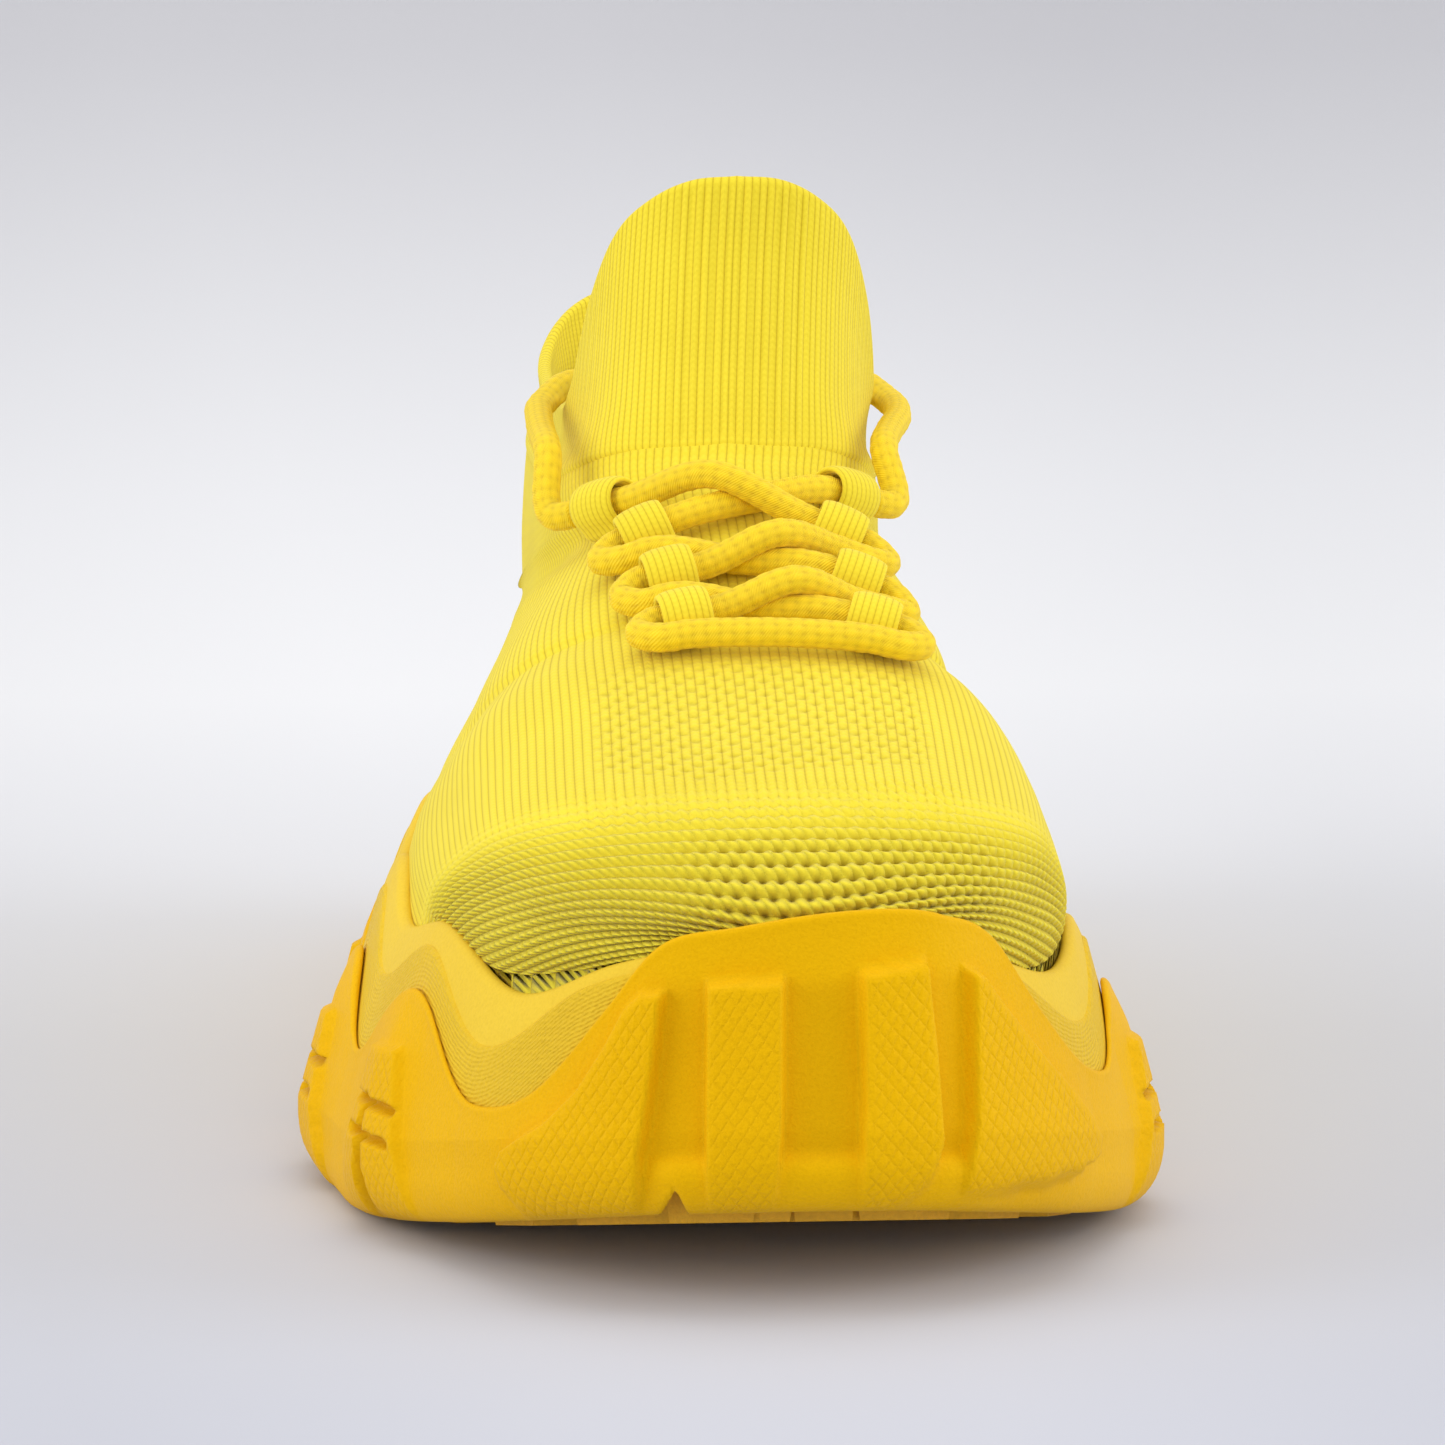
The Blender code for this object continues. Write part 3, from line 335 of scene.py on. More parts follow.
def loop_frame(bed, row, side):
    """A lace loop's centre, and its directions along the tunnel outwards, forwards and up."""
    place, middle, across = LOOP_ROWS[row]
    centre, up = bed.on(middle + side * across, place, TUNNEL_RADIUS + 2 * GAP)
    axis = Vector((side * 0.86, 0.5 if row == 3 else -0.16, 0.0))
    axis = (axis - up * axis.dot(up)).normalized()
    fore = axis.cross(up).normalized()
    return centre, axis, fore, up


def tunnel_points(bed, row, side):
    """The lace inside a loop, from its inner end to its outer end."""
    centre, axis, _, _ = loop_frame(bed, row, side)
    return [centre - axis * TUNNEL_REACH, centre, centre + axis * TUNNEL_REACH]


def turn_points(bed, row, side):
    """The lace's turn round the outer end of a loop, from its outer end to in front of it."""
    place, middle, across = LOOP_ROWS[row]
    steps = [(LOOP_WIDTH / 2 + 3.4, 0.5), (LOOP_WIDTH / 2 + 1.0, 1.0), (0.0, 1.06)]
    return [bed.on(middle + side * (across + out), place - LACE_PITCH * back, LACE_REST)[0]
            for out, back in steps]


def strand_points(bed, start, end, lift):
    """Points along a strand: two at rest on the knit, or one at lift where it crosses another."""
    shares, height = ((0.35, 0.65), LACE_REST) if lift is None else ((0.5,), lift)
    flat = [start + (end - start) * share for share in shares]
    return [bed.on(p.x, p.y, height)[0] for p in flat]


def lace_route(bed):
    """The lace from the lateral top loop down the crossings to the toe end and back up."""
    under = LACE_RADIUS + GAP + 0.1
    over = under + 2 * LACE_RADIUS + GAP
    ways = [(-1, 3), (1, 2), (-1, 1), (1, 0), (-1, 0), (1, 1), (-1, 2), (1, 3)]
    lifts = [over, over, under, None, over, under, under]
    route = tunnel_points(bed, 3, -1)[::-1]
    for (side, row), lift in zip(ways[1:], lifts):
        inward = ways.index((side, row)) >= 4
        stretch = tunnel_points(bed, row, side)
        if row < 3:
            stretch += turn_points(bed, row, side)
            if inward:
                stretch.reverse()
        route += strand_points(bed, route[-1], stretch[0], lift) + stretch
    return route


def free_end_route(bed, side):
    """A free end of the lace: out of its top loop, over the collar's side and into the shoe."""
    centre, axis, _, up = loop_frame(bed, 3, side)
    start = centre + axis * (TUNNEL_REACH + 3 * GAP)
    exits = [start, start + axis * 4.6 + up * 0.6]
    floor = [spline(FOOTBED, [y])[0] + INSOLE_TOP + LACE_RADIUS + 1.8 for y in LACE_REST_Y]
    rows = [(2.8, 25.4, 1.5, 98.8), (3.6, 26.4, 14.0, 100.0),
            (5.0, 27.6, 28.0, 100.6), (5.4, 27.0, 40.0, 101.4), (5.6, 21.6, 49.0, 103.6),
            (5.0, 13.8, 54.0, 100.0), (4.4, 11.4, 55.5, 90.0), (4.0, 11.0, 56.0, 70.0),
            (4.0, 11.6, 56.5, floor[0] + 8.0),
            (4.0, 12.2, LACE_REST_Y[0] + 4.0, floor[0]), (4.0, 12.6, LACE_REST_Y[1], floor[1]),
            (4.0, 10.0, LACE_REST_Y[2], floor[2]), (4.0, 5.6, LACE_REST_Y[3], floor[3])]
    rest = [(middle + side * out, y, z) for middle, out, y, z in rows]
    return resample([tuple(p) for p in exits] + rest, 1.0)


def resample(points, spacing):
    """Points of the smooth curve through the given points, about spacing apart."""
    points = np.asarray(points, float)
    along = lengths(points)
    knots = np.column_stack([along, points])
    count = max(3, int(round(along[-1] / spacing)) + 1)
    return spline(knots, np.linspace(0, along[-1], count))


# ---------------------------------------------------------------- mesh helpers


def grid_mesh(name, points, material, facts=None, wrap_rows=False, wrap_cols=False, keep=None,
              weld=0.0, sharp=None):
    """A quad mesh from points (rows, columns, 3) in millimetres. facts are named values for each
    corner, (rows, columns), with one more row or column where the grid wraps."""
    rows, cols = points.shape[:2]
    r = np.arange(rows if wrap_rows else rows - 1)
    c = np.arange(cols if wrap_cols else cols - 1)
    rr, cc = (a.ravel() for a in np.meshgrid(r, c, indexing="ij"))
    if keep is not None:
        chosen = keep[rr, cc]
        rr, cc = rr[chosen], cc[chosen]
    r1, c1 = (rr + 1) % rows, (cc + 1) % cols
    quads = np.stack([rr * cols + cc, rr * cols + c1, r1 * cols + c1, r1 * cols + cc], axis=1)
    mesh = bpy.data.meshes.new(name)
    mesh.vertices.add(rows * cols)
    mesh.vertices.foreach_set("co", (points.reshape(-1, 3) * MM).ravel())
    mesh.loops.add(quads.size)
    mesh.loops.foreach_set("vertex_index", quads.ravel())
    mesh.polygons.add(len(quads))
    mesh.polygons.foreach_set("loop_start", np.arange(len(quads)) * 4)
    mesh.update(calc_edges=True)
    for fact, values in (facts or {}).items():
        high_r = np.minimum(rr + 1, values.shape[0] - 1)
        high_c = np.minimum(cc + 1, values.shape[1] - 1)
        corners = np.stack([values[rr, cc], values[rr, high_c], values[high_r, high_c],
                            values[high_r, cc]], axis=1)
        layer = mesh.attributes.new(fact, "FLOAT", "CORNER")
        layer.data.foreach_set("value", corners.astype(np.float32).ravel())
    return finish_mesh(name, mesh, material, weld, sharp)


def finish_mesh(name, mesh, material, weld=0.0, sharp=None):
    """Cleans a mesh, turns its faces outwards and makes a smooth-shaded object from it."""
    bm = bmesh.new()
    bm.from_mesh(mesh)
    if weld:
        bmesh.ops.remove_doubles(bm, verts=bm.verts, dist=weld * MM)
    loose = [v for v in bm.verts if not v.link_faces]
    bmesh.ops.delete(bm, geom=loose, context="VERTS")
    bmesh.ops.recalc_face_normals(bm, faces=bm.faces)
    bm.to_mesh(mesh)
    bm.free()
    mesh.materials.append(material)
    mesh.shade_smooth()
    if sharp:
        mesh.set_sharp_from_angle(angle=math.radians(sharp))
    obj = bpy.data.objects.new(name, mesh)
    bpy.context.scene.collection.objects.link(obj)
    return obj


def place(obj, slot, *nodes):
    """Gives a piece to the shoe's one body, and hides the CAD nodes it stands for."""
    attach(obj, "root")
    if nodes:
        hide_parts(*nodes)
    return obj


def frames_along(path):
    """Two steady unit directions across a path at each of its points."""
    along = np.gradient(path, axis=0)
    along /= np.linalg.norm(along, axis=1)[:, None]
    first = np.cross(along[0], [0.0, 0.0, 1.0])
    if np.linalg.norm(first) < 0.1:
        first = np.cross(along[0], [0.0, 1.0, 0.0])
    across = [first / np.linalg.norm(first)]
    for direction in along[1:]:
        turned = across[-1] - direction * across[-1].dot(direction)
        across.append(turned / np.linalg.norm(turned))
    across = np.array(across)
    return across, np.cross(along, across)


# ---------------------------------------------------------------- material helpers


def new_material(name, roughness, **settings):
    """A material with a Principled shader; settings are its sockets' values."""
    material = bpy.data.materials.new(name)
    material.use_nodes = True
    tree = material.node_tree
    shader = tree.nodes["Principled BSDF"]
    shader.inputs["Roughness"].default_value = roughness
    for socket, value in settings.items():
        shader.inputs[socket.replace("_", " ")].default_value = value
    return material, tree, shader


def node(tree, kind, inputs=None, **settings):
    """A node with its properties set, and its inputs set or linked."""
    made = tree.nodes.new(kind)
    for key, value in settings.items():
        setattr(made, key, value)
    for key, value in (inputs or {}).items():
        if isinstance(value, bpy.types.NodeSocket):
            tree.links.new(value, made.inputs[key])
        else:
            made.inputs[key].default_value = value
    return made


def calc(tree, operation, *values):
    """The output of a math node."""
    return node(tree, "ShaderNodeMath", dict(enumerate(values)), operation=operation).outputs[0]


def fact(tree, name):
    """A named value that the mesh carries."""
    return node(tree, "ShaderNodeAttribute", attribute_name=name).outputs["Fac"]


def saw(tree, value, pitch, shift=0.0):
    """0 in the middle of each repeat of pitch and 1 at its ends."""
    turns = calc(tree, "FRACT", calc(tree, "MULTIPLY_ADD", value, 1 / pitch, shift))
    return calc(tree, "MULTIPLY", calc(tree, "ABSOLUTE", calc(tree, "SUBTRACT", turns, 0.5)), 2.0)


def noise(tree, scale, detail=2.0, roughness=0.5):
    """Noise over the object's own space; scale is in repeats a metre."""
    place_in = node(tree, "ShaderNodeTexCoord").outputs["Object"]
    made = node(tree, "ShaderNodeTexNoise", {"Vector": place_in, "Scale": scale, "Detail": detail,
                                             "Roughness": roughness})
    return made.outputs["Fac"]


def ramp(tree, value, stops):
    """A colour ramp through (place, linear colour) stops."""
    made = node(tree, "ShaderNodeValToRGB", {"Fac": value})
    line = made.color_ramp
    for at, colour in stops[1:-1]:
        line.elements.new(at).color = (*colour, 1)
    line.elements[0].position, line.elements[0].color = stops[0][0], (*stops[0][1], 1)
    line.elements[-1].position, line.elements[-1].color = stops[-1][0], (*stops[-1][1], 1)
    return made.outputs["Color"]


def mix(tree, share, a, b, kind="MIX"):
    """A mix of two colours by share."""
    sockets = {0: share, 6: a, 7: b}
    inputs = {key: (*value, 1) if isinstance(value, tuple) else value for key, value in sockets.items()}
    return node(tree, "ShaderNodeMix", inputs, data_type="RGBA", blend_type=kind).outputs[2]


def crest(tree, value, power):
    """1 where a value is 0, falling to 0 where it is 1; a higher power keeps it broad."""
    return calc(tree, "SUBTRACT", 1.0, calc(tree, "POWER", value, power))


def madd(tree, value, factor, more):
    """value times factor plus more."""
    return calc(tree, "MULTIPLY_ADD", value, factor, more)


def bump(tree, shader, height, distance):
    """Links a height in units of distance (metres) to a shader's normal."""
    inputs = {"Height": height, "Distance": distance, "Strength": 1.0}
    tree.links.new(node(tree, "ShaderNodeBump", inputs).outputs[0], shader.inputs["Normal"])


YELLOW = (0.90, 0.73, 0.035)  # knit
AMBER = (0.83, 0.465, 0.002)  # moulded foam
GOLD = (0.95, 0.67, 0.008)  # cord
WHITE = (1.0, 1.0, 1.0)


def shade(colour, factor, towards=WHITE):
    """A darker or lighter tone of a colour, tinted towards another."""
    return tuple(c * factor * t for c, t in zip(colour, towards))


def knit_material(name, fine_pitch, stitch, coarse_rows=False, depth=0.00013):
    """Knitted yarn, with painted shade in the low places of its relief. Its mesh carries wale (mm
    across), course (mm along), the share coarse, and a share of painted shade in holes, dimples and row
    crevices."""
    material, tree, shader = new_material(name, 0.85, Sheen_Weight=0.25, Sheen_Roughness=0.5,
                                          Specular_IOR_Level=0.2)
    shader.inputs["Sheen Tint"].default_value = (1.0, 0.93, 0.45, 1)
    wale, course = fact(tree, "wale"), fact(tree, "course")
    side = saw(tree, wale, fine_pitch)
    lean = madd(tree, side, 0.45, calc(tree, "MULTIPLY", course, 1 / stitch))
    beads = saw(tree, lean, 1.0)
    height = calc(tree, "MULTIPLY", crest(tree, side, 2.4), madd(tree, beads, -0.4, 1.0))
    if coarse_rows:
        across = calc(tree, "FRACT", madd(tree, course, 1 / COARSE_ROW, 0.5))
        slant = madd(tree, across, 0.8, calc(tree, "MULTIPLY", wale, 1 / 1.5))
        yarn = crest(tree, saw(tree, slant, 1.0), 2.0)
        heap = crest(tree, saw(tree, course, COARSE_ROW, 0.5), 2.0)
        knots = calc(tree, "MULTIPLY", madd(tree, yarn, 0.75, 0.35), heap)
        gain = calc(tree, "SUBTRACT", calc(tree, "MULTIPLY", knots, 4.4), height)
        height = madd(tree, fact(tree, "coarse"), gain, height)
    fuzz = noise(tree, 2600.0, 3.0, 0.6)
    bump(tree, shader, madd(tree, fuzz, 0.35, height), depth)
    # painted shade: the colour darkens in the low places of the yarn relief
    low = calc(tree, "MINIMUM", height, 1.0)
    colour = ramp(tree, low, [(0.0, shade(YELLOW, 0.66, (1.0, 0.86, 0.5))),
                              (0.35, shade(YELLOW, 0.92, (1.0, 0.97, 0.8))), (0.9, YELLOW)])
    mottle = ramp(tree, noise(tree, 45.0, 3.0), [(0.3, (0.94, 0.93, 0.86)), (0.7, WHITE)])
    tinted = mix(tree, 1.0, colour, mottle, "MULTIPLY")
    # painted shade: the coarse toe rows are tinted darker olive for their self-shadowing
    olive_shade = mix(tree, calc(tree, "MULTIPLY", fact(tree, "coarse"), 0.25), tinted, (0.72, 0.60, 0.03))
    # painted shade: holes, dimples and the crevices between rows darkened
    painted_dark = mix(tree, fact(tree, "hollow"), olive_shade, (0.30, 0.19, 0.005))
    tree.links.new(painted_dark, shader.inputs["Base Color"])
    return material


def foam_material(name, colour, grain=1.0, stripes=False, hatch=False):
    """Moulded foam with a fine sandy skin. Its mesh carries run and rise (mm), and with hatch
    the share pad of a cross-hatched panel and a share of painted shade in recesses and cuts."""
    material, tree, shader = new_material(name, 0.55, Specular_IOR_Level=0.2)
    shader.inputs["Specular Tint"].default_value = (1.0, 0.75, 0.1, 1)
    sand = noise(tree, 2100.0, 2.0, 0.6)
    broad = noise(tree, 420.0, 2.0)
    height = madd(tree, broad, 0.5, calc(tree, "MULTIPLY", sand, 0.8 * grain))
    run, rise = fact(tree, "run"), fact(tree, "rise")
    if stripes:
        wobble = madd(tree, noise(tree, 700.0, 1.0), 0.5, rise)
        lines = saw(tree, madd(tree, run, 0.12, wobble), 0.62)
        cross = saw(tree, madd(tree, rise, 0.5, run), 1.3)
        height = madd(tree, cross, 0.4, height)
        height = madd(tree, lines, 0.7, height)
    if hatch:
        warp = calc(tree, "MULTIPLY", noise(tree, 500.0, 1.0), 0.6)
        one = saw(tree, calc(tree, "ADD", madd(tree, rise, 0.62, run), warp), 1.7)
        two = saw(tree, calc(tree, "ADD", madd(tree, rise, -0.85, run), warp), 2.3)
        cells = calc(tree, "MINIMUM", crest(tree, one, 3.0), crest(tree, two, 3.0))
        cells = calc(tree, "MULTIPLY", cells, fact(tree, "pad"))
        height = madd(tree, cells, 0.75, height)
    bump(tree, shader, height, 0.00016)
    tone = ramp(tree, noise(tree, 26.0, 4.0), [(0.3, shade(colour, 0.93, (1.0, 0.97, 0.9))),
                                               (0.7, colour)])
    worn = ramp(tree, sand, [(0.25, (0.90, 0.88, 0.8)), (0.6, WHITE)])
    tinted = mix(tree, 0.7, tone, worn, "MULTIPLY")
    if hatch:
        # painted shade: the bumper's channels and the lobes' cuts darkened
        tinted = mix(tree, calc(tree, "MULTIPLY", fact(tree, "hollow"), 0.75), tinted,
                     shade(colour, 0.62, (1.0, 0.85, 0.6)))
    tree.links.new(tinted, shader.inputs["Base Color"])
    return material


def plain_material(name, colour, roughness, scale, depth, speck=0.85, **settings):
    """A skin with grain of one scale (repeats a metre), and a second tone in its low places."""
    material, tree, shader = new_material(name, roughness, **settings)
    grain = noise(tree, scale, 4.0, 0.6)
    bump(tree, shader, grain, depth)
    tone = ramp(tree, grain, [(0.3, shade(colour, speck)), (0.65, colour)])
    tree.links.new(tone, shader.inputs["Base Color"])
    return material


def cord_material(name):
    """Braided cord. Its mesh carries crown, 0 between the strands and 1 on them, and strand,
    mm along the yarns."""
    material, tree, shader = new_material(name, 0.62, Sheen_Weight=0.2, Sheen_Roughness=0.5,
                                          Specular_IOR_Level=0.3)
    shader.inputs["Sheen Tint"].default_value = (1.0, 0.9, 0.4, 1)
    crown = fact(tree, "crown")
    yarn = saw(tree, fact(tree, "strand"), 0.42)
    fuzz = noise(tree, 3200.0, 2.0, 0.6)
    bump(tree, shader, madd(tree, fuzz, 0.5, yarn), 0.00008)
    # painted shade between the strands, lighter on their crowns
    colour = ramp(tree, crown, [(0.0, shade(GOLD, 0.66, (1.0, 0.82, 0.5))),
                                (0.45, shade(GOLD, 0.95)), (1.0, shade(GOLD, 1.06))])
    tree.links.new(colour, shader.inputs["Base Color"])
    return material


COARSE_ROW = 2.9  # pitch of the toe's coarse knit rows

CORD = cord_material("braided_cord")
KNIT = knit_material("knit_upper", 1.4, 1.25, coarse_rows=True)
COLLAR_KNIT = knit_material("knit_collar", 1.2, 1.1, depth=0.0001)
TAPE_KNIT = knit_material("knit_tape", 1.0, 0.9, depth=0.00005)
CAGE_FOAM = foam_material("moulded_cage", AMBER, hatch=True)
MIDSOLE_FOAM = foam_material("textured_midsole", (0.80, 0.53, 0.03), stripes=True)
RIM_FOAM = foam_material("smooth_rim", (0.84, 0.58, 0.045), grain=0.5)
RUBBER = plain_material("tread_rubber", (0.74, 0.40, 0.006), 0.68, 1500.0, 0.00012)
BOARD = plain_material("fibre_board", (0.70, 0.62, 0.44), 0.9, 900.0, 0.0001)
LINING = plain_material("insole_cloth", (0.82, 0.62, 0.05), 0.92, 1800.0, 0.0003, 0.75)
PLASTIC = plain_material("lace_tip", (0.80, 0.56, 0.03), 0.32, 160.0, 0.00003, 0.92, Coat_Weight=0.3)

# ---------------------------------------------------------------- the laces, made first


def lace_tube(name, path, radius, step, sides):
    """A braided round cord along a path, with raised strands."""
    path = resample(path, step)
    along = lengths(path)
    across, up = frames_along(path)
    turn = np.arange(sides) * 2 * PI / sides
    strands, lay = 5, 3.9
    aa, tt = np.meshgrid(along, turn, indexing="ij")
    left = np.cos(strands * tt + 2 * PI * aa / lay)
    right = np.cos(strands * tt - 2 * PI * aa / lay + PI / 2)
    crown = np.clip(0.5 + 0.5 * left * right + 0.22 * np.maximum(left, right), 0, 1)
    size = radius * (0.965 + 0.075 * crown)
    size[0] *= 0.8
    size[-1] *= 0.8
    ring = across[:, None] * np.cos(tt)[..., None] + up[:, None] * np.sin(tt)[..., None]
    points = path[:, None] + ring * size[..., None]
    ends = [path[:1, None] + 0 * ring[:1], path[-1:, None] + 0 * ring[:1]]
    points = np.concatenate([ends[0], points, ends[1]])
    crown = np.pad(crown, ((1, 1), (0, 1)), mode="edge")
    strand = np.pad(aa + tt * radius * 0.7, ((1, 1), (0, 0)), mode="edge")
    strand = np.column_stack([strand, strand[:, 0] + 2 * PI * radius * 0.7])
    obj = grid_mesh(name, points, CORD, {"crown": crown, "strand": strand}, wrap_cols=True,
                    weld=0.001)
    return obj, path, along[-1]


def make_laces(bed):
    threaded, _, _ = lace_tube("lace_braided", lace_route(bed), LACE_RADIUS, 0.33, 48)
    place(threaded, "cord", "lace_threaded")
    for side, word in ((-1, "lateral"), (1, "medial")):
        fine = free_end_route(bed, side)
        shaft = fine[:-int(AGLET_LENGTH) - 1]
        free, path, length = lace_tube(f"lace_free_{word}", shaft, LACE_RADIUS, 0.4, 40)
        place(free, "cord", f"lace_end_{word}")


BED = LacingBed()
make_laces(BED)

# ---------------------------------------------------------------- the sole

ARC_THETA = np.linspace(0, 2 * PI, 1441)
ARC = lengths(outline(ARC_THETA))


def run_of(theta):
    """Millimetres along the sole's edge from the toe."""
    return np.interp(theta, ARC_THETA, ARC)


def even_thetas(count):
    """Evenly spaced values of theta round the sole."""
    return np.arange(count) * 2 * PI / count


def close(rows, step=0.0):
    """Values of closed rings as a grid with its first column again at the end."""
    grid = np.array(rows)
    return np.column_stack([grid, grid[:, 0] + step])


def loop_rows(facts):
    """The same grids with their first row again at the end."""
    return {name: np.vstack([grid, grid[:1]]) for name, grid in facts.items()}


def pad_facts(facts, rows, cols=(0, 0)):
    """The same grids with their edge values repeated in rows and columns before and after."""
    return {name: np.pad(grid, (rows, cols), mode="edge") for name, grid in facts.items()}


def stack_rings(theta, rings):
    """The points of rings round the sole, given as (inset, heights)."""
    return np.array([sole_ring(theta, np.full_like(z, inset), z) for inset, z in rings])


def ring_facts(theta, heights):
    """The run and the rise of rings round the sole."""
    return {"run": close([run_of(theta)] * len(heights), ARC[-1]), "rise": close(heights)}


def half_turns(count):
    """Shares from just above 0 to 1, in even steps, and their angles over half a turn."""
    return [(t, t * PI) for t in np.linspace(0, 1, count)[1:]]


def inside(polygon, x, z):
    """Signed distance (mm) into a polygon given as (x, z) corners; negative outside it."""
    polygon = np.asarray(polygon, float)
    far = np.full(x.shape, 1e9)
    within = np.zeros(x.shape, bool)
    for (ax, az), (bx, bz) in zip(polygon, np.roll(polygon, -1, axis=0)):
        ex, ez = bx - ax, bz - az
        t = np.clip(((x - ax) * ex + (z - az) * ez) / (ex * ex + ez * ez), 0, 1)
        far = np.minimum(far, np.hypot(x - ax - t * ex, z - az - t * ez))
        crosses = (az > z) != (bz > z)
        with np.errstate(divide="ignore", invalid="ignore"):
            within ^= crosses & (x < ex * (z - az) / ez + ax)
    return np.where(within, far, -far)


LEFT_WING = [(-13.7, 44.6), (-17.2, 44.2), (-19.6, 41.8), (-22.3, 36.4), (-25.9, 30.3),
             (-30.2, 25.3), (-33.3, 22.9), (-35.6, 20.6), (-36.4, 18.0), (-35.9, 15.0),
             (-33.5, 12.0), (-31.2, 8.0), (-17.2, 6.0), (-17.0, 22.0), (-15.6, 30.0),
             (-14.5, 38.0)]
RIGHT_WING = [(27.6, 46.4), (30.0, 45.4), (31.9, 42.4), (36.1, 36.5), (40.0, 31.3),
              (43.5, 26.9), (46.4, 22.7), (48.0, 19.1), (47.6, 16.4), (44.0, 14.6), (25.7, 15.4),
              (27.5, 26.0), (27.5, 36.0)]
RIBS = [[(-8.6, 46.0), (2.4, 46.6), (2.2, 30.0), (1.4, 17.0), (0.6, 11.0), (-8.0, 11.0),
         (-9.0, 18.0), (-9.0, 30.0)],
        [(12.4, 47.2), (22.0, 48.4), (23.2, 35.0), (24.0, 24.0), (22.4, 18.6), (17.0, 13.0),
         (11.4, 11.0), (12.4, 30.0)]]
TOE_PADS = [(LEFT_WING, 2.8), (RIGHT_WING, 2.6)] + [(rib, 3.1) for rib in RIBS]  # with heights
TOE_PADS_END = -85.0
LEDGE_HEIGHT = 1.8
HEEL_RIB_HEIGHT = 1.7
CAGE_RECESS = 1.5  # how far the cage's plain stretches stand inside the sole's outline
DEEPEST = -2.0  # what keeps the midsole behind the cage
KEEL_HEIGHT, LOBE_PAD_HEIGHT, CUT_DEPTH = 1.7, 1.3, 2.2
LIP, LIP_HEIGHT = 1.2, 1.3  # half the width and the height of the cage's rounded top edge
NOTCH_X, NOTCH_HALF, NOTCH_HEIGHT = -12.6, 2.0, 4.4  # the V in the bumper's bottom edge
HEEL_RIBS = [[(c - 4.6, 46.0), (c + 4.6, 46.0), (c + 5.4, 10.0), (c - 5.4, 10.0)]
             for c in (-21.0, -7.0, 8.0, 22.0)]
LOBES = [("L", -93.0, 35.5), ("L", -50.0, 34.0), ("L", -8.0, 36.0), ("L", 36.0, 38.5),
         ("L", 80.0, 42.5), ("M", -84.0, 34.5), ("M", -42.0, 34.0), ("M", 2.0, 36.0),
         ("M", 46.0, 38.5), ("M", 88.0, 43.0)]


def bumper_relief(x, y, z, base):
    """How far the toe bumper's and the heel's features stand out, where its pads are, and the painted
    shade of the channels between the toe's pads.
    """
    toe = smooth(-86.0, -112.0, y)
    raised = np.zeros_like(x)
    pad = np.zeros_like(x)
    for shape, height in TOE_PADS:
        into = inside(shape, x, z)
        raised += height * smooth(-0.1, 0.75, into) * (y < TOE_PADS_END)
        pad = np.maximum(pad, smooth(0.6, 1.6, into) * (y < TOE_PADS_END))
    ledge = smooth(9.4, 7.0, z - base) * smooth(-20, -12, x) * smooth(36, 28, x)
    raised = np.maximum(raised, LEDGE_HEIGHT * ledge * toe)
    # painted shade for the recessed channels between the toe's pads
    hollow = (1 - smooth(0.0, 0.8, raised)) * toe * smooth(47.0, 44.0, z) * smooth(-18, -14, x)
    hollow *= smooth(28.0, 25.0, x)
    raised -= CAGE_RECESS * toe
    heel = smooth(118.0, 132.0, y)
    for shape in HEEL_RIBS:
        into = inside(shape, x, z)
        raised += HEEL_RIB_HEIGHT * smooth(-0.1, 1.0, into) * heel
        pad = np.maximum(pad, smooth(0.6, 1.6, into) * heel)
    return raised, pad, hollow * 0.25


def lobe_relief(theta, z):
    """The side lobes: a keeled ridge, a raised pad, a split down it and two short slots."""
    raised = -CAGE_RECESS * smooth(-124.0, -100.0, outline(theta)[:, 1])
    pad = np.zeros_like(z)
    cut = np.zeros_like(z)
    run = run_of(theta)
    for side, y, peak in LOBES:
        away = run - run_of(theta_at(side, y))
        away = away if side == "M" else -away  # positive towards the toe
        low = float(ground(np.array([y]))[0])
        pad_top = peak - 9.0
        keel = np.clip(1 - np.sqrt(away ** 2 + 0.8) / 12.5, 0, 1)
        raised += KEEL_HEIGHT * keel * smooth(peak + 2.0, peak - 8.0, z)
        raised -= 0.5 * smooth(12.0, 19.0, np.abs(away)) * smooth(26.0, 22.0, np.abs(away))
        shape = [(-5.6, pad_top - 0.4), (4.8, pad_top + 0.4), (7.4, pad_top - 8.0), (9.6, 12.0),
                 (12.2, 5.0), (11.0, -2.0), (-11.0, -2.0), (-11.4, 5.0), (-9.0, 12.0),
                 (-7.0, pad_top - 8.0)]
        into = inside(shape, away, z - low * 0.6)
        here = smooth(-0.1, 0.7, into)
        raised += LOBE_PAD_HEIGHT * here
        pad = np.maximum(pad, smooth(0.6, 1.6, into))
        depth_down = np.clip((pad_top - 6.0 - z) / (pad_top - 8.0), 0, 1)
        half = 0.45 + 1.9 * depth_down ** 1.3
        split = smooth(half + 0.5, half - 0.2, np.abs(away + 1.2))
        split *= smooth(pad_top - 5.2, pad_top - 6.2, z)
        slots = np.zeros_like(z)
        for drop in (6.7, 11.3):
            line = np.abs(z - (pad_top - drop) + 0.03 * away)
            slots = np.maximum(slots, smooth(0.85, 0.4, line) * smooth(7.0, 6.2, away)
                               * smooth(-6.4, -5.6, away))
        cut = np.maximum(cut, np.maximum(split, slots * 0.8) * here)
    return raised - CUT_DEPTH * cut, pad * (1 - cut), cut


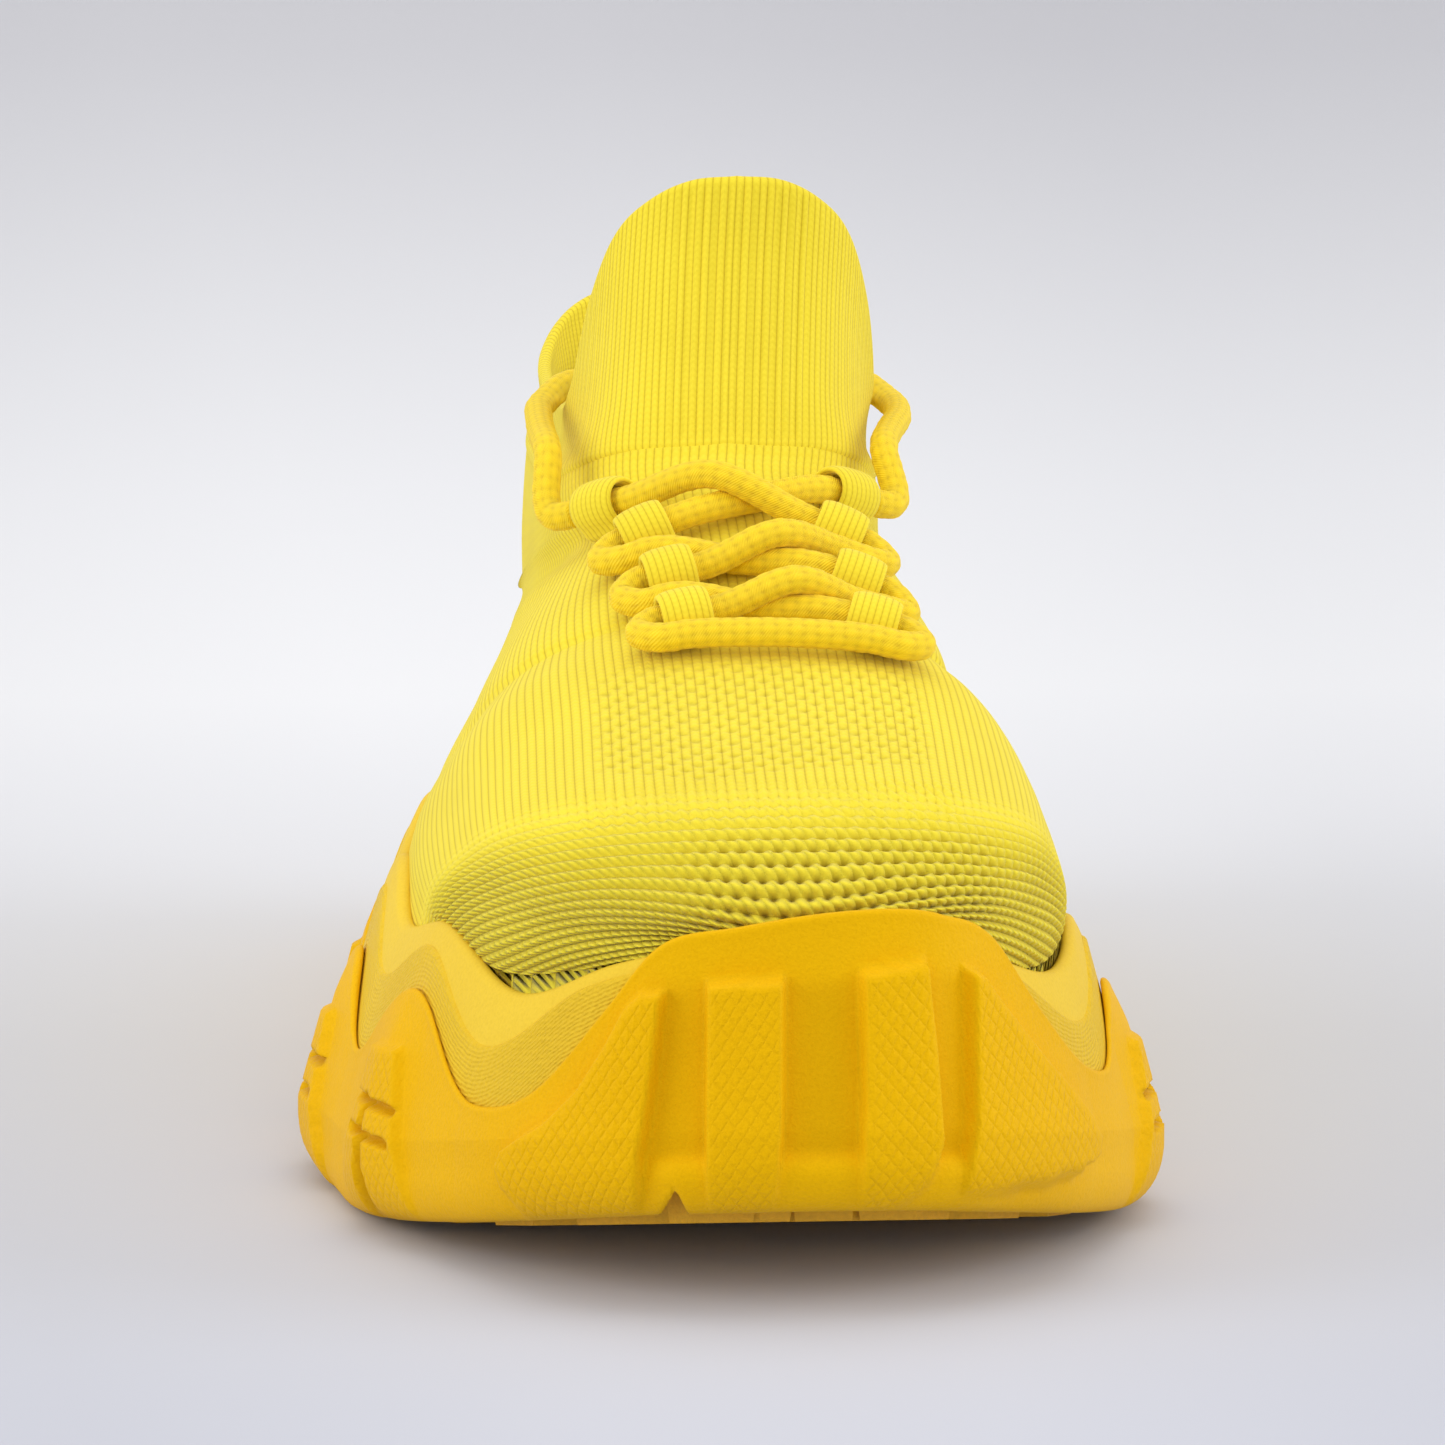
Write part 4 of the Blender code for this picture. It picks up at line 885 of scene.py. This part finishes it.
def make_cage():
    """The moulded cage, its bumper, its lobes and its rounded, lugged bottom edge."""
    even = np.linspace(0, 2 * PI, 4001)
    weight = 1 + 1.5 * np.exp(-((outline(even)[:, 1] + 150.0) / 55.0) ** 2)
    total = np.concatenate([[0], np.cumsum((weight[1:] + weight[:-1]) / 2 * np.diff(run_of(even)))])
    theta = np.interp(even_thetas(940) * total[-1] / (2 * PI), total, even)
    flat = outline(theta)
    base = ground(flat[:, 1])
    top = spline(CAGE_KNOTS, theta, 2 * PI)
    rows = [(FLANGE, base, 0.0), (7.4, base, 0.0), (5.8, base, 0.1)]
    for t, turn in half_turns(10):
        bend = turn / 2
        rows.append((5.0 * (1 - math.sin(bend)), base + BOTTOM_ROUND * (1 - math.cos(bend)), t))
    for t in np.linspace(0, 1, 54)[1:]:
        rows.append((0.0, (base + BOTTOM_ROUND) * (1 - t) + (top - LIP_HEIGHT) * t, 1.0))
    for t, bend in half_turns(7):
        rows.append((LIP * (1 - math.cos(bend)), top - LIP_HEIGHT * (1 - math.sin(bend)), 1.0 - t))
    rows += [(CAGE_WALL, (base + CAGE_FOOT + top) / 2, 0.0), (CAGE_WALL, base + CAGE_FOOT, 0.0),
             (FLANGE, base + FLANGE_THICK, 0.0)]
    points, pads, painted_dark = [], [], []
    for inset, z, share in rows:
        x, y, _ = sole_ring(theta, np.full_like(z, inset), z).T
        front, pad, hollow = bumper_relief(x, y, z, base)
        side, lobe_pad, cut = lobe_relief(theta, z)
        out = np.maximum(front + side, DEEPEST) * share
        notch = np.clip(1 - np.abs(x - NOTCH_X) / NOTCH_HALF, 0, 1) * NOTCH_HEIGHT * (flat[:, 1] < -130)
        lifted = np.maximum(z, np.minimum(base + notch, z + notch))
        points.append(sole_ring(theta, inset - out, lifted))
        pads.append(np.maximum(pad, lobe_pad) * (share > 0.3))
        # painted shade: the toe's channels and the lobes' split and slots darken the cage
        painted_dark.append(np.maximum(hollow, cut) * min(1.0, share * 2))
    facts = ring_facts(theta, [z for _, z, _ in rows])
    facts.update(pad=close(pads), hollow=close(painted_dark))
    cage = grid_mesh("cage_moulded", np.array(points), CAGE_FOAM, loop_rows(facts), wrap_rows=True,
                     wrap_cols=True)
    place(cage, "foam", "sole_cage")


def make_midsole():
    """The foam core, whose finely ribbed wall shows between the cage and the rim."""
    theta = even_thetas(720)
    base = ground(outline(theta)[:, 1])
    top = spline(MIDSOLE_KNOTS, theta, 2 * PI)
    foot = base + CAGE_FOOT + 2 * GAP
    rings = [(FLANGE + 1.2, base + FLANGE_THICK + GAP), (MIDSOLE_INSET, foot)]
    rings += [(MIDSOLE_INSET, foot * (1 - t) + (top - 0.6) * t) for t in np.linspace(0, 1, 14)[1:]]
    rings += [(MIDSOLE_INSET + 0.2, top - 0.2), (MIDSOLE_INSET + 0.55, top),
              (RIM_INSET - GAP, top - 0.3), (RIM_INSET - GAP, top - RIM_GROOVE),
              (RIM_INSET + RIM_WALL + GAP, top - RIM_GROOVE),
              (RIM_INSET + RIM_WALL + GAP, footbed(theta))]
    facts = ring_facts(theta, [z - top for _, z in rings])
    points, facts = fill_rings(stack_rings(theta, rings), facts)
    midsole = grid_mesh("midsole_foam", points, MIDSOLE_FOAM, facts, wrap_cols=True, weld=0.01,
                        sharp=50)
    place(midsole, "foam", "midsole")


def fill_rings(points, facts, steps=5):
    """Closes a stack of rings at its first and last ring, inwards to the shoe's middle line."""
    def inner(ring):
        count = len(ring)
        mirror = ring[(count - np.arange(count)) % count]
        middle = (ring + mirror) / 2
        return [middle + (ring - middle) * share for share in np.linspace(1, 0, steps + 1)[1:]]
    low, high = inner(points[0]), inner(points[-1])
    return np.concatenate([low[::-1], points, high]), pad_facts(facts, (steps, steps))


def make_rim():
    """The smooth crowned band between the textured midsole and the knit."""
    theta = even_thetas(720)
    foot = spline(MIDSOLE_KNOTS, theta, 2 * PI) - RIM_GROOVE + GAP
    top = spline(RIM_KNOTS, theta, 2 * PI)
    rings = [(RIM_INSET, foot)]
    for t, bend in half_turns(10):
        swell = 0.55 * max(math.sin(bend), 0.0) ** 0.8
        rings.append((RIM_INSET - swell, foot * (1 - t) + (top - 1.2) * t))
    for _, bend in half_turns(9):
        rings.append((RIM_INSET + (RIM_WALL + 0.3) / 2 * (1 - math.cos(bend)),
                      top - 1.2 + 1.2 * math.sin(bend)))
    rings.append((RIM_INSET + RIM_WALL, foot))
    facts = loop_rows(ring_facts(theta, [z for _, z in rings]))
    rim = grid_mesh("rim_foam", stack_rings(theta, rings), RIM_FOAM, facts, wrap_rows=True,
                    wrap_cols=True)
    place(rim, "foam", "midsole_rim")


def make_insole():
    """The foam sock liner: its edge is rounded and turns up a little round the foot."""
    theta = even_thetas(240)
    low = footbed(theta) + INSOLE_TOP - INSOLE_THICK
    high = footbed(theta) + INSOLE_TOP
    rings = [(INNER_INSET + 0.5, low)]
    for t in np.linspace(0, 1, 9):
        bend = t * PI - PI / 2
        rings.append((INNER_INSET + 0.9 - 0.9 * math.cos(bend),
                      (low + high) / 2 + (high - low) / 2 * math.sin(bend)))
    rings += [(INNER_INSET + 3.0, high - 0.25), (INNER_INSET + 8.0, high - 0.45)]
    points, _ = fill_rings(stack_rings(theta, rings), {}, 14)
    insole = grid_mesh("insole_padded", points, LINING, wrap_cols=True, weld=0.01)
    place(insole, "lining", "insole")


make_cage()
make_midsole()
make_rim()
make_insole()

# ---------------------------------------------------------------- the upper


def dots(across, along, pitch, row_pitch, wide, high):
    """1 at the middle of each of a field of staggered dots, falling to 0 between them."""
    row = np.floor(along / row_pitch)
    spot = across / pitch + 0.5 * (row % 2)
    near = (spot - np.round(spot)) * pitch
    near_row = (along / row_pitch - row - 0.5) * row_pitch
    return np.exp(-(near / wide) ** 2 - (near_row / high) ** 2)


def knit_relief(wale, course):
    """The knit's relief in mm, the share of coarse rows, and the painted shade of its holes, dimples and
    row crevices at each point.
    """
    coarse = smooth(37.0, 14.0, course)
    rows = np.cos(2 * PI * course / COARSE_ROW)
    mesh_zone = smooth(-20.0, -6.0, wale) * smooth(36.0, 26.0, wale)
    mesh_zone *= smooth(25.0, 15.0, course) * smooth(-8.0, 0.0, course)
    holes = dots(wale, course, 2.5, COARSE_ROW, 0.62, 0.62) * mesh_zone
    relief = 0.36 * coarse * rows * (1 - 0.4 * mesh_zone) - 1.0 * holes
    band = smooth(20.0, 24.0, course) * smooth(40.0, 35.0, course)
    band *= smooth(-32.0, -26.0, wale) * smooth(30.0, 22.0, wale)
    lean = wale + 0.55 * (course - 30) * smooth(2, 12, wale)
    relief += 0.2 * band * np.cos(2 * PI * lean / 1.95)
    tip = course - 0.42 * np.clip(-10.0 - wale, 0, None) - 0.22 * np.clip(wale + 10.0, 0, None)
    zone = smooth(36.0, 39.0, tip) * smooth(84.0, 74.0, course) * smooth(26.0, 21.0, np.abs(wale + 1))
    dimples = dots(wale, tip, 3.5, 2.3, 0.75, 0.6) * zone
    relief -= 0.45 * dimples
    # painted shade: holes, dimples and the crevices between coarse rows
    hollow = np.clip(0.85 * holes + 0.42 * dimples + 0.1 * coarse * smooth(-0.4, -1.0, rows), 0, 1)
    return relief, coarse, hollow


def upper_grid(us, vs):
    """The upper's grid of u and v, and its wale and course in mm at each point."""
    uu, vv = np.meshgrid(us, vs, indexing="ij")
    points = upper_surface(uu.ravel(), vv.ravel()).reshape(*uu.shape, 3)
    steps = np.linalg.norm(np.diff(points, axis=1), axis=2)
    wale = np.concatenate([np.zeros((len(us), 1)), np.cumsum(steps, axis=1)], axis=1)
    middle = int(np.argmin(np.abs(vs)))
    wale -= wale[:, middle:middle + 1]
    length = lengths(upper_surface(us, np.zeros_like(us)))
    curl = 31.0 * smooth(110.0, 40.0, length)
    course = length[:, None] - curl[:, None] * np.clip(np.abs(vv), 0, 1) ** 2
    return uu, vv, wale, course


def even_rows(first, last, spacing):
    """Values of u whose points on the centre line are about spacing(length) apart."""
    fine = np.linspace(first, last, 4000)
    length = lengths(upper_surface(fine, np.zeros_like(fine)))
    shares = np.diff(length) / spacing((length[1:] + length[:-1]) / 2)
    count = np.concatenate([[0], np.cumsum(shares)])
    return np.interp(np.linspace(0, count[-1], int(round(count[-1])) + 1), count, fine)


def offset_row(vs, u, depth):
    """One row of the upper at a depth inside its outer surface."""
    return upper_offset(np.full_like(vs, u), vs, np.full_like(vs, depth))


def rim_bulge(vv):
    """How far the knit swells out over the sole's rim, in mm."""
    side = np.abs(vv)
    return 1.4 * smooth(0.70, 0.93, side) * smooth(1.0 + SKIRT, 0.97, side)


def make_upper():
    """The knitted upper, with its lower edge tucked into the sole and its top edge turned in."""
    us = even_rows(0.0, COLLAR_U - 0.004,
                   lambda at: np.where(at < 46, 0.42, np.where(at < 90, 0.62, 0.9)))
    vs = np.concatenate([[-1 - SKIRT, -1 - SKIRT / 2], np.linspace(-1, 1, 321),
                         [1 + SKIRT / 2, 1 + SKIRT]])
    uu, vv, wale, course = upper_grid(us, vs)
    relief, coarse, hollow = knit_relief(wale, course)
    relief *= smooth(0.0, 0.03, uu) * smooth(1.0, 0.95, np.abs(vv))
    relief += quarter_folds(uu, vv) + rim_bulge(vv)
    outer = upper_offset(uu.ravel(), vv.ravel(), -relief.ravel()).reshape(*uu.shape, 3)
    outer = join_ends(outer, us, vs)
    turn = [(COLLAR_U, 0.5), (COLLAR_U, 1.6), (COLLAR_U - 0.006, KNIT_THICK)]
    lining = [(u, KNIT_THICK) for u in np.linspace(COLLAR_U - 0.03, 0.02, 22)]
    rows = [outer]
    for u, depth in turn + lining:
        rows.append(join_ends(offset_row(vs, u, depth)[None], np.array([u]), vs))
    points = np.concatenate(rows)
    all_u = np.concatenate([us, [u for u, _ in turn + lining]])
    more = len(all_u) - len(us)
    facts = {"wale": wale, "course": course, "coarse": coarse, "hollow": hollow}
    facts = pad_facts(facts, (0, more))
    facts["hollow"][len(us):] = 0
    shut = np.minimum(all_u[1:], all_u[:-1]) >= HEEL_U
    skirt = np.maximum(np.abs(vs[1:]), np.abs(vs[:-1])) > 1 + 1e-9
    keep = ~(shut[:, None] & skirt[None])
    upper = grid_mesh("upper_knit", points, KNIT, facts, keep=keep, weld=0.002)
    place(upper, "knit", "knit_upper")


def quarter_folds(uu, vv):
    """Soft creases in the knit beside the lacing, where the quarters are slack."""
    fold = np.zeros_like(uu)
    for u0, v0, slope, height in ((0.655, -0.50, 0.5, 0.7), (0.69, -0.44, 0.5, -0.8),
                                  (0.72, -0.40, 0.4, 0.6), (0.67, 0.52, -0.5, 0.45)):
        off = (uu - u0) - slope * 0.2 * (vv - v0)
        fold += height * np.exp(-(off / 0.012) ** 2 - ((vv - v0) / 0.13) ** 2)
    return fold


def join_ends(points, us, vs):
    """Brings both ends of each closed row together, and the toe tip's row into one point."""
    mirrored = (points + points[:, ::-1]) / 2
    for i, u in enumerate(us):
        if u == 0 or u >= HEEL_U - 1e-9:
            ends = np.abs(vs) >= 1 - 1e-9
            points[i, ends] = mirrored[i, ends]
        if u == 0:
            middle = np.abs(vs) <= 1 + 1e-9
            points[i, middle] = points[i, middle].mean(axis=0)
    return points


def make_collar():
    """The ribbed sock collar, with a rolled rim and a smooth inner face."""
    us = even_rows(COLLAR_U - 0.02, 1.0, lambda at: np.full_like(at, 0.55))
    vs = np.linspace(-1, 1, 561)
    uu, vv, wale, course = upper_grid(us, vs)
    height = np.clip((uu - COLLAR_U) / (1 - COLLAR_U), 0, 1)
    middle = smooth(13.0, 9.0, np.abs(wale - 1.5))
    relief = (0.17 * middle + 0.05) * np.cos(2 * PI * wale / 1.9)
    relief *= smooth(0.0, 0.05, height) * smooth(1.0, 0.97, height)
    slack = smooth(10, 20, np.abs(wale)) * smooth(0.5, 0.0, height)
    relief += 0.35 * np.sin(height * 9.0 + 1.2) * slack
    sunk = 1.5 * smooth(COLLAR_U - 0.002, COLLAR_U - 0.014, uu)
    outer = upper_offset(uu.ravel(), vv.ravel(), (sunk - relief).ravel()).reshape(*uu.shape, 3)
    rows = [join_ends(outer, us, vs)]
    edge = offset_row(vs, 1.0, KNIT_THICK / 2)
    rise = edge - offset_row(vs, 0.985, KNIT_THICK / 2)
    rise /= np.linalg.norm(rise, axis=1)[:, None]
    out = offset_row(vs, 1.0, 0.0) - edge
    for bend in np.linspace(0, PI, 9)[1:-1]:
        ring = edge + out * math.cos(bend) + rise * math.sin(bend) * KNIT_THICK / 2
        rows.append(join_ends(ring[None], np.ones(1), vs))
    for u in np.linspace(1.0, COLLAR_U + 0.004, 26):
        rows.append(join_ends(offset_row(vs, u, KNIT_THICK)[None], np.ones(1), vs))
    points = np.concatenate(rows)
    more = len(points) - len(us)
    facts = {"wale": wale, "course": course, "coarse": 0 * wale, "hollow": 0 * wale}
    facts = pad_facts(facts, (0, more))
    over = np.linspace(0, 24.0, more)[:, None]
    facts["course"][len(us):] = course[-1:] + over
    collar = grid_mesh("collar_knit", points, COLLAR_KNIT, facts, weld=0.002)
    place(collar, "knit", "sock_collar")


def make_loop(name, row, side, nodes):
    """A knitted tape loop: an arch over the lace whose feet flare into the upper."""
    centre, axis, fore, up = (np.array(a) for a in loop_frame(BED, row, side))
    wide = LOOP_WIDTH / 2 + (1.4 if row == 3 else 0.7)
    thick = WEBBING_THICK + 0.55
    around = np.linspace(-0.22 * PI, 1.22 * PI, 41)
    ring = np.linspace(0, 2 * PI, 25)[:-1]
    points, wales, courses = [], [], []
    for bend in ring:
        out = math.cos(bend)
        slide = np.sign(out) * abs(out) ** 0.6 * wide
        lift = thick / 2 * (1 + np.sign(math.sin(bend)) * abs(math.sin(bend)) ** 0.8)
        crown = 0.25 * (1 - (slide / wide) ** 2) * (math.sin(bend) > 0)
        radius = TUNNEL_RADIUS - 0.15 + lift + crown
        foot = np.clip(np.abs(around - PI / 2) - PI / 2, 0, None)
        reach = radius * (1 + 0.5 * foot)
        drop = radius * np.sin(np.clip(around, -0.1, PI + 0.1)) - foot * 3.4
        points.append(centre + axis * slide + fore * (np.cos(around) * reach)[:, None]
                      + up * drop[:, None])
        wales.append(np.full_like(around, slide))
        courses.append(around * radius)
    points = np.array(points)
    facts = {"wale": np.array(wales), "course": np.array(courses),
             "coarse": np.zeros(points.shape[:2]), "hollow": np.zeros(points.shape[:2])}
    caps = [points[:, :1].mean(axis=0, keepdims=True) + 0 * points[:, :1],
            points[:, -1:].mean(axis=0, keepdims=True) + 0 * points[:, -1:]]
    points = np.concatenate([caps[0], points, caps[1]], axis=1)
    facts = pad_facts(facts, (0, 1), (1, 1))
    loop = grid_mesh(name, points, TAPE_KNIT, facts, wrap_rows=True, weld=0.002)
    place(loop, "knit", *nodes)


make_upper()
make_collar()
for loop_side, loop_word in ((-1, "lateral"), (1, "medial")):
    for loop_row in range(4):
        make_loop(f"tape_loop_{loop_word}_{loop_row + 1}", loop_row, loop_side,
                  [f"lace_loop_{loop_word}_{loop_row + 1}"])

# ---------------------------------------------------------------- CAD nodes that stay

for node_name, finish in (("outsole_tread", RUBBER), ("lasting_board", BOARD),
                          ("arch_shank", PLASTIC), ("toe_puff", PLASTIC),
                          ("heel_counter", PLASTIC), ("aglet_lateral", PLASTIC),
                          ("aglet_medial", PLASTIC)):
    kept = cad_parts[node_name]
    for place_of in kept.material_slots:
        place_of.material = finish
    if not kept.material_slots:
        kept.data.materials.append(finish)

# ---------------------------------------------------------------- studio


def make_studio():
    """A pale floor that curves up into a backdrop, with painted shade towards its front, back and sides,
    and soft lights.
    """
    material, tree, shader = new_material("studio_paper_painted_shade", 0.9, Specular_IOR_Level=0.1)
    place_in = node(tree, "ShaderNodeTexCoord").outputs["Object"]
    parts = node(tree, "ShaderNodeSeparateXYZ", {0: place_in}).outputs
    # painted shade: the paper is darker at the front and the back, like light falling off, and blued at
    # the front to cool the yellow light bounced into the shoe's shadow
    deep = madd(tree, parts[1], 0.25, 0.25)
    middle = ramp(tree, deep, [(0.2, (0.58, 0.59, 0.645)), (0.26, (0.64, 0.645, 0.68)),
                               (0.345, (0.84, 0.84, 0.845)), (0.42, (0.84, 0.84, 0.85)),
                               (0.72, (0.77, 0.765, 0.785))])
    # painted shade: the paper darkens towards its sides, a painted vignette
    spread = calc(tree, "DIVIDE", parts[0], madd(tree, parts[1], 0.0875, 0.109))
    sides = ramp(tree, calc(tree, "ABSOLUTE", spread), [(0.3, WHITE), (1.0, (0.93, 0.93, 0.935))])
    tree.links.new(mix(tree, 1.0, middle, sides, "MULTIPLY"), shader.inputs["Base Color"])
    bm = bmesh.new()
    front, back, sweep_round, top, half = -3.0, 2.6, 1.2, 4.0, 4.0
    section = [(front, 0.0), (back, 0.0)]
    for bend in np.linspace(0.1, PI / 2, 14):
        section.append((back + sweep_round * math.sin(bend), sweep_round * (1 - math.cos(bend))))
    section.append((back + sweep_round, top))
    rows = [[bm.verts.new((x, y, z)) for x in (-half, half)] for y, z in section]
    for low, high in zip(rows, rows[1:]):
        bm.faces.new((low[0], low[1], high[1], high[0]))
    mesh = bpy.data.meshes.new("studio_sweep")
    bm.to_mesh(mesh)
    bm.free()
    mesh.materials.append(material)
    mesh.shade_smooth()
    sweep = bpy.data.objects.new("studio_sweep", mesh)
    bpy.context.scene.collection.objects.link(sweep)
    lights = [("left_softbox", (-1.15, -0.35, 0.42), 5.2, 0.9),
              ("right_softbox", (1.15, -0.30, 0.40), 4.8, 0.9),
              ("top_softbox", (0.0, 0.1, 1.5), 4.5, 1.3), ("front_fill", (0.1, -1.6, 0.9), 3.4, 1.2)]
    target = Vector((0, -0.02, 0.06))
    for name, at, power, size in lights:  # power in watts, size in metres
        data = bpy.data.lights.new(name, "AREA")
        data.shape = "DISK"
        data.size = size
        data.energy = power
        light = bpy.data.objects.new(name, data)
        light.location = at
        light.rotation_euler = (target - light.location).to_track_quat("-Z", "Y").to_euler()
        bpy.context.scene.collection.objects.link(light)
    world = bpy.data.worlds.new("studio")
    world.use_nodes = True
    sky = world.node_tree.nodes["Background"].inputs
    sky["Color"].default_value = (0.97, 0.975, 1.0, 1)
    sky["Strength"].default_value = 0.85
    bpy.context.scene.world = world
    bpy.context.scene.view_settings.view_transform = "Standard"


make_studio()
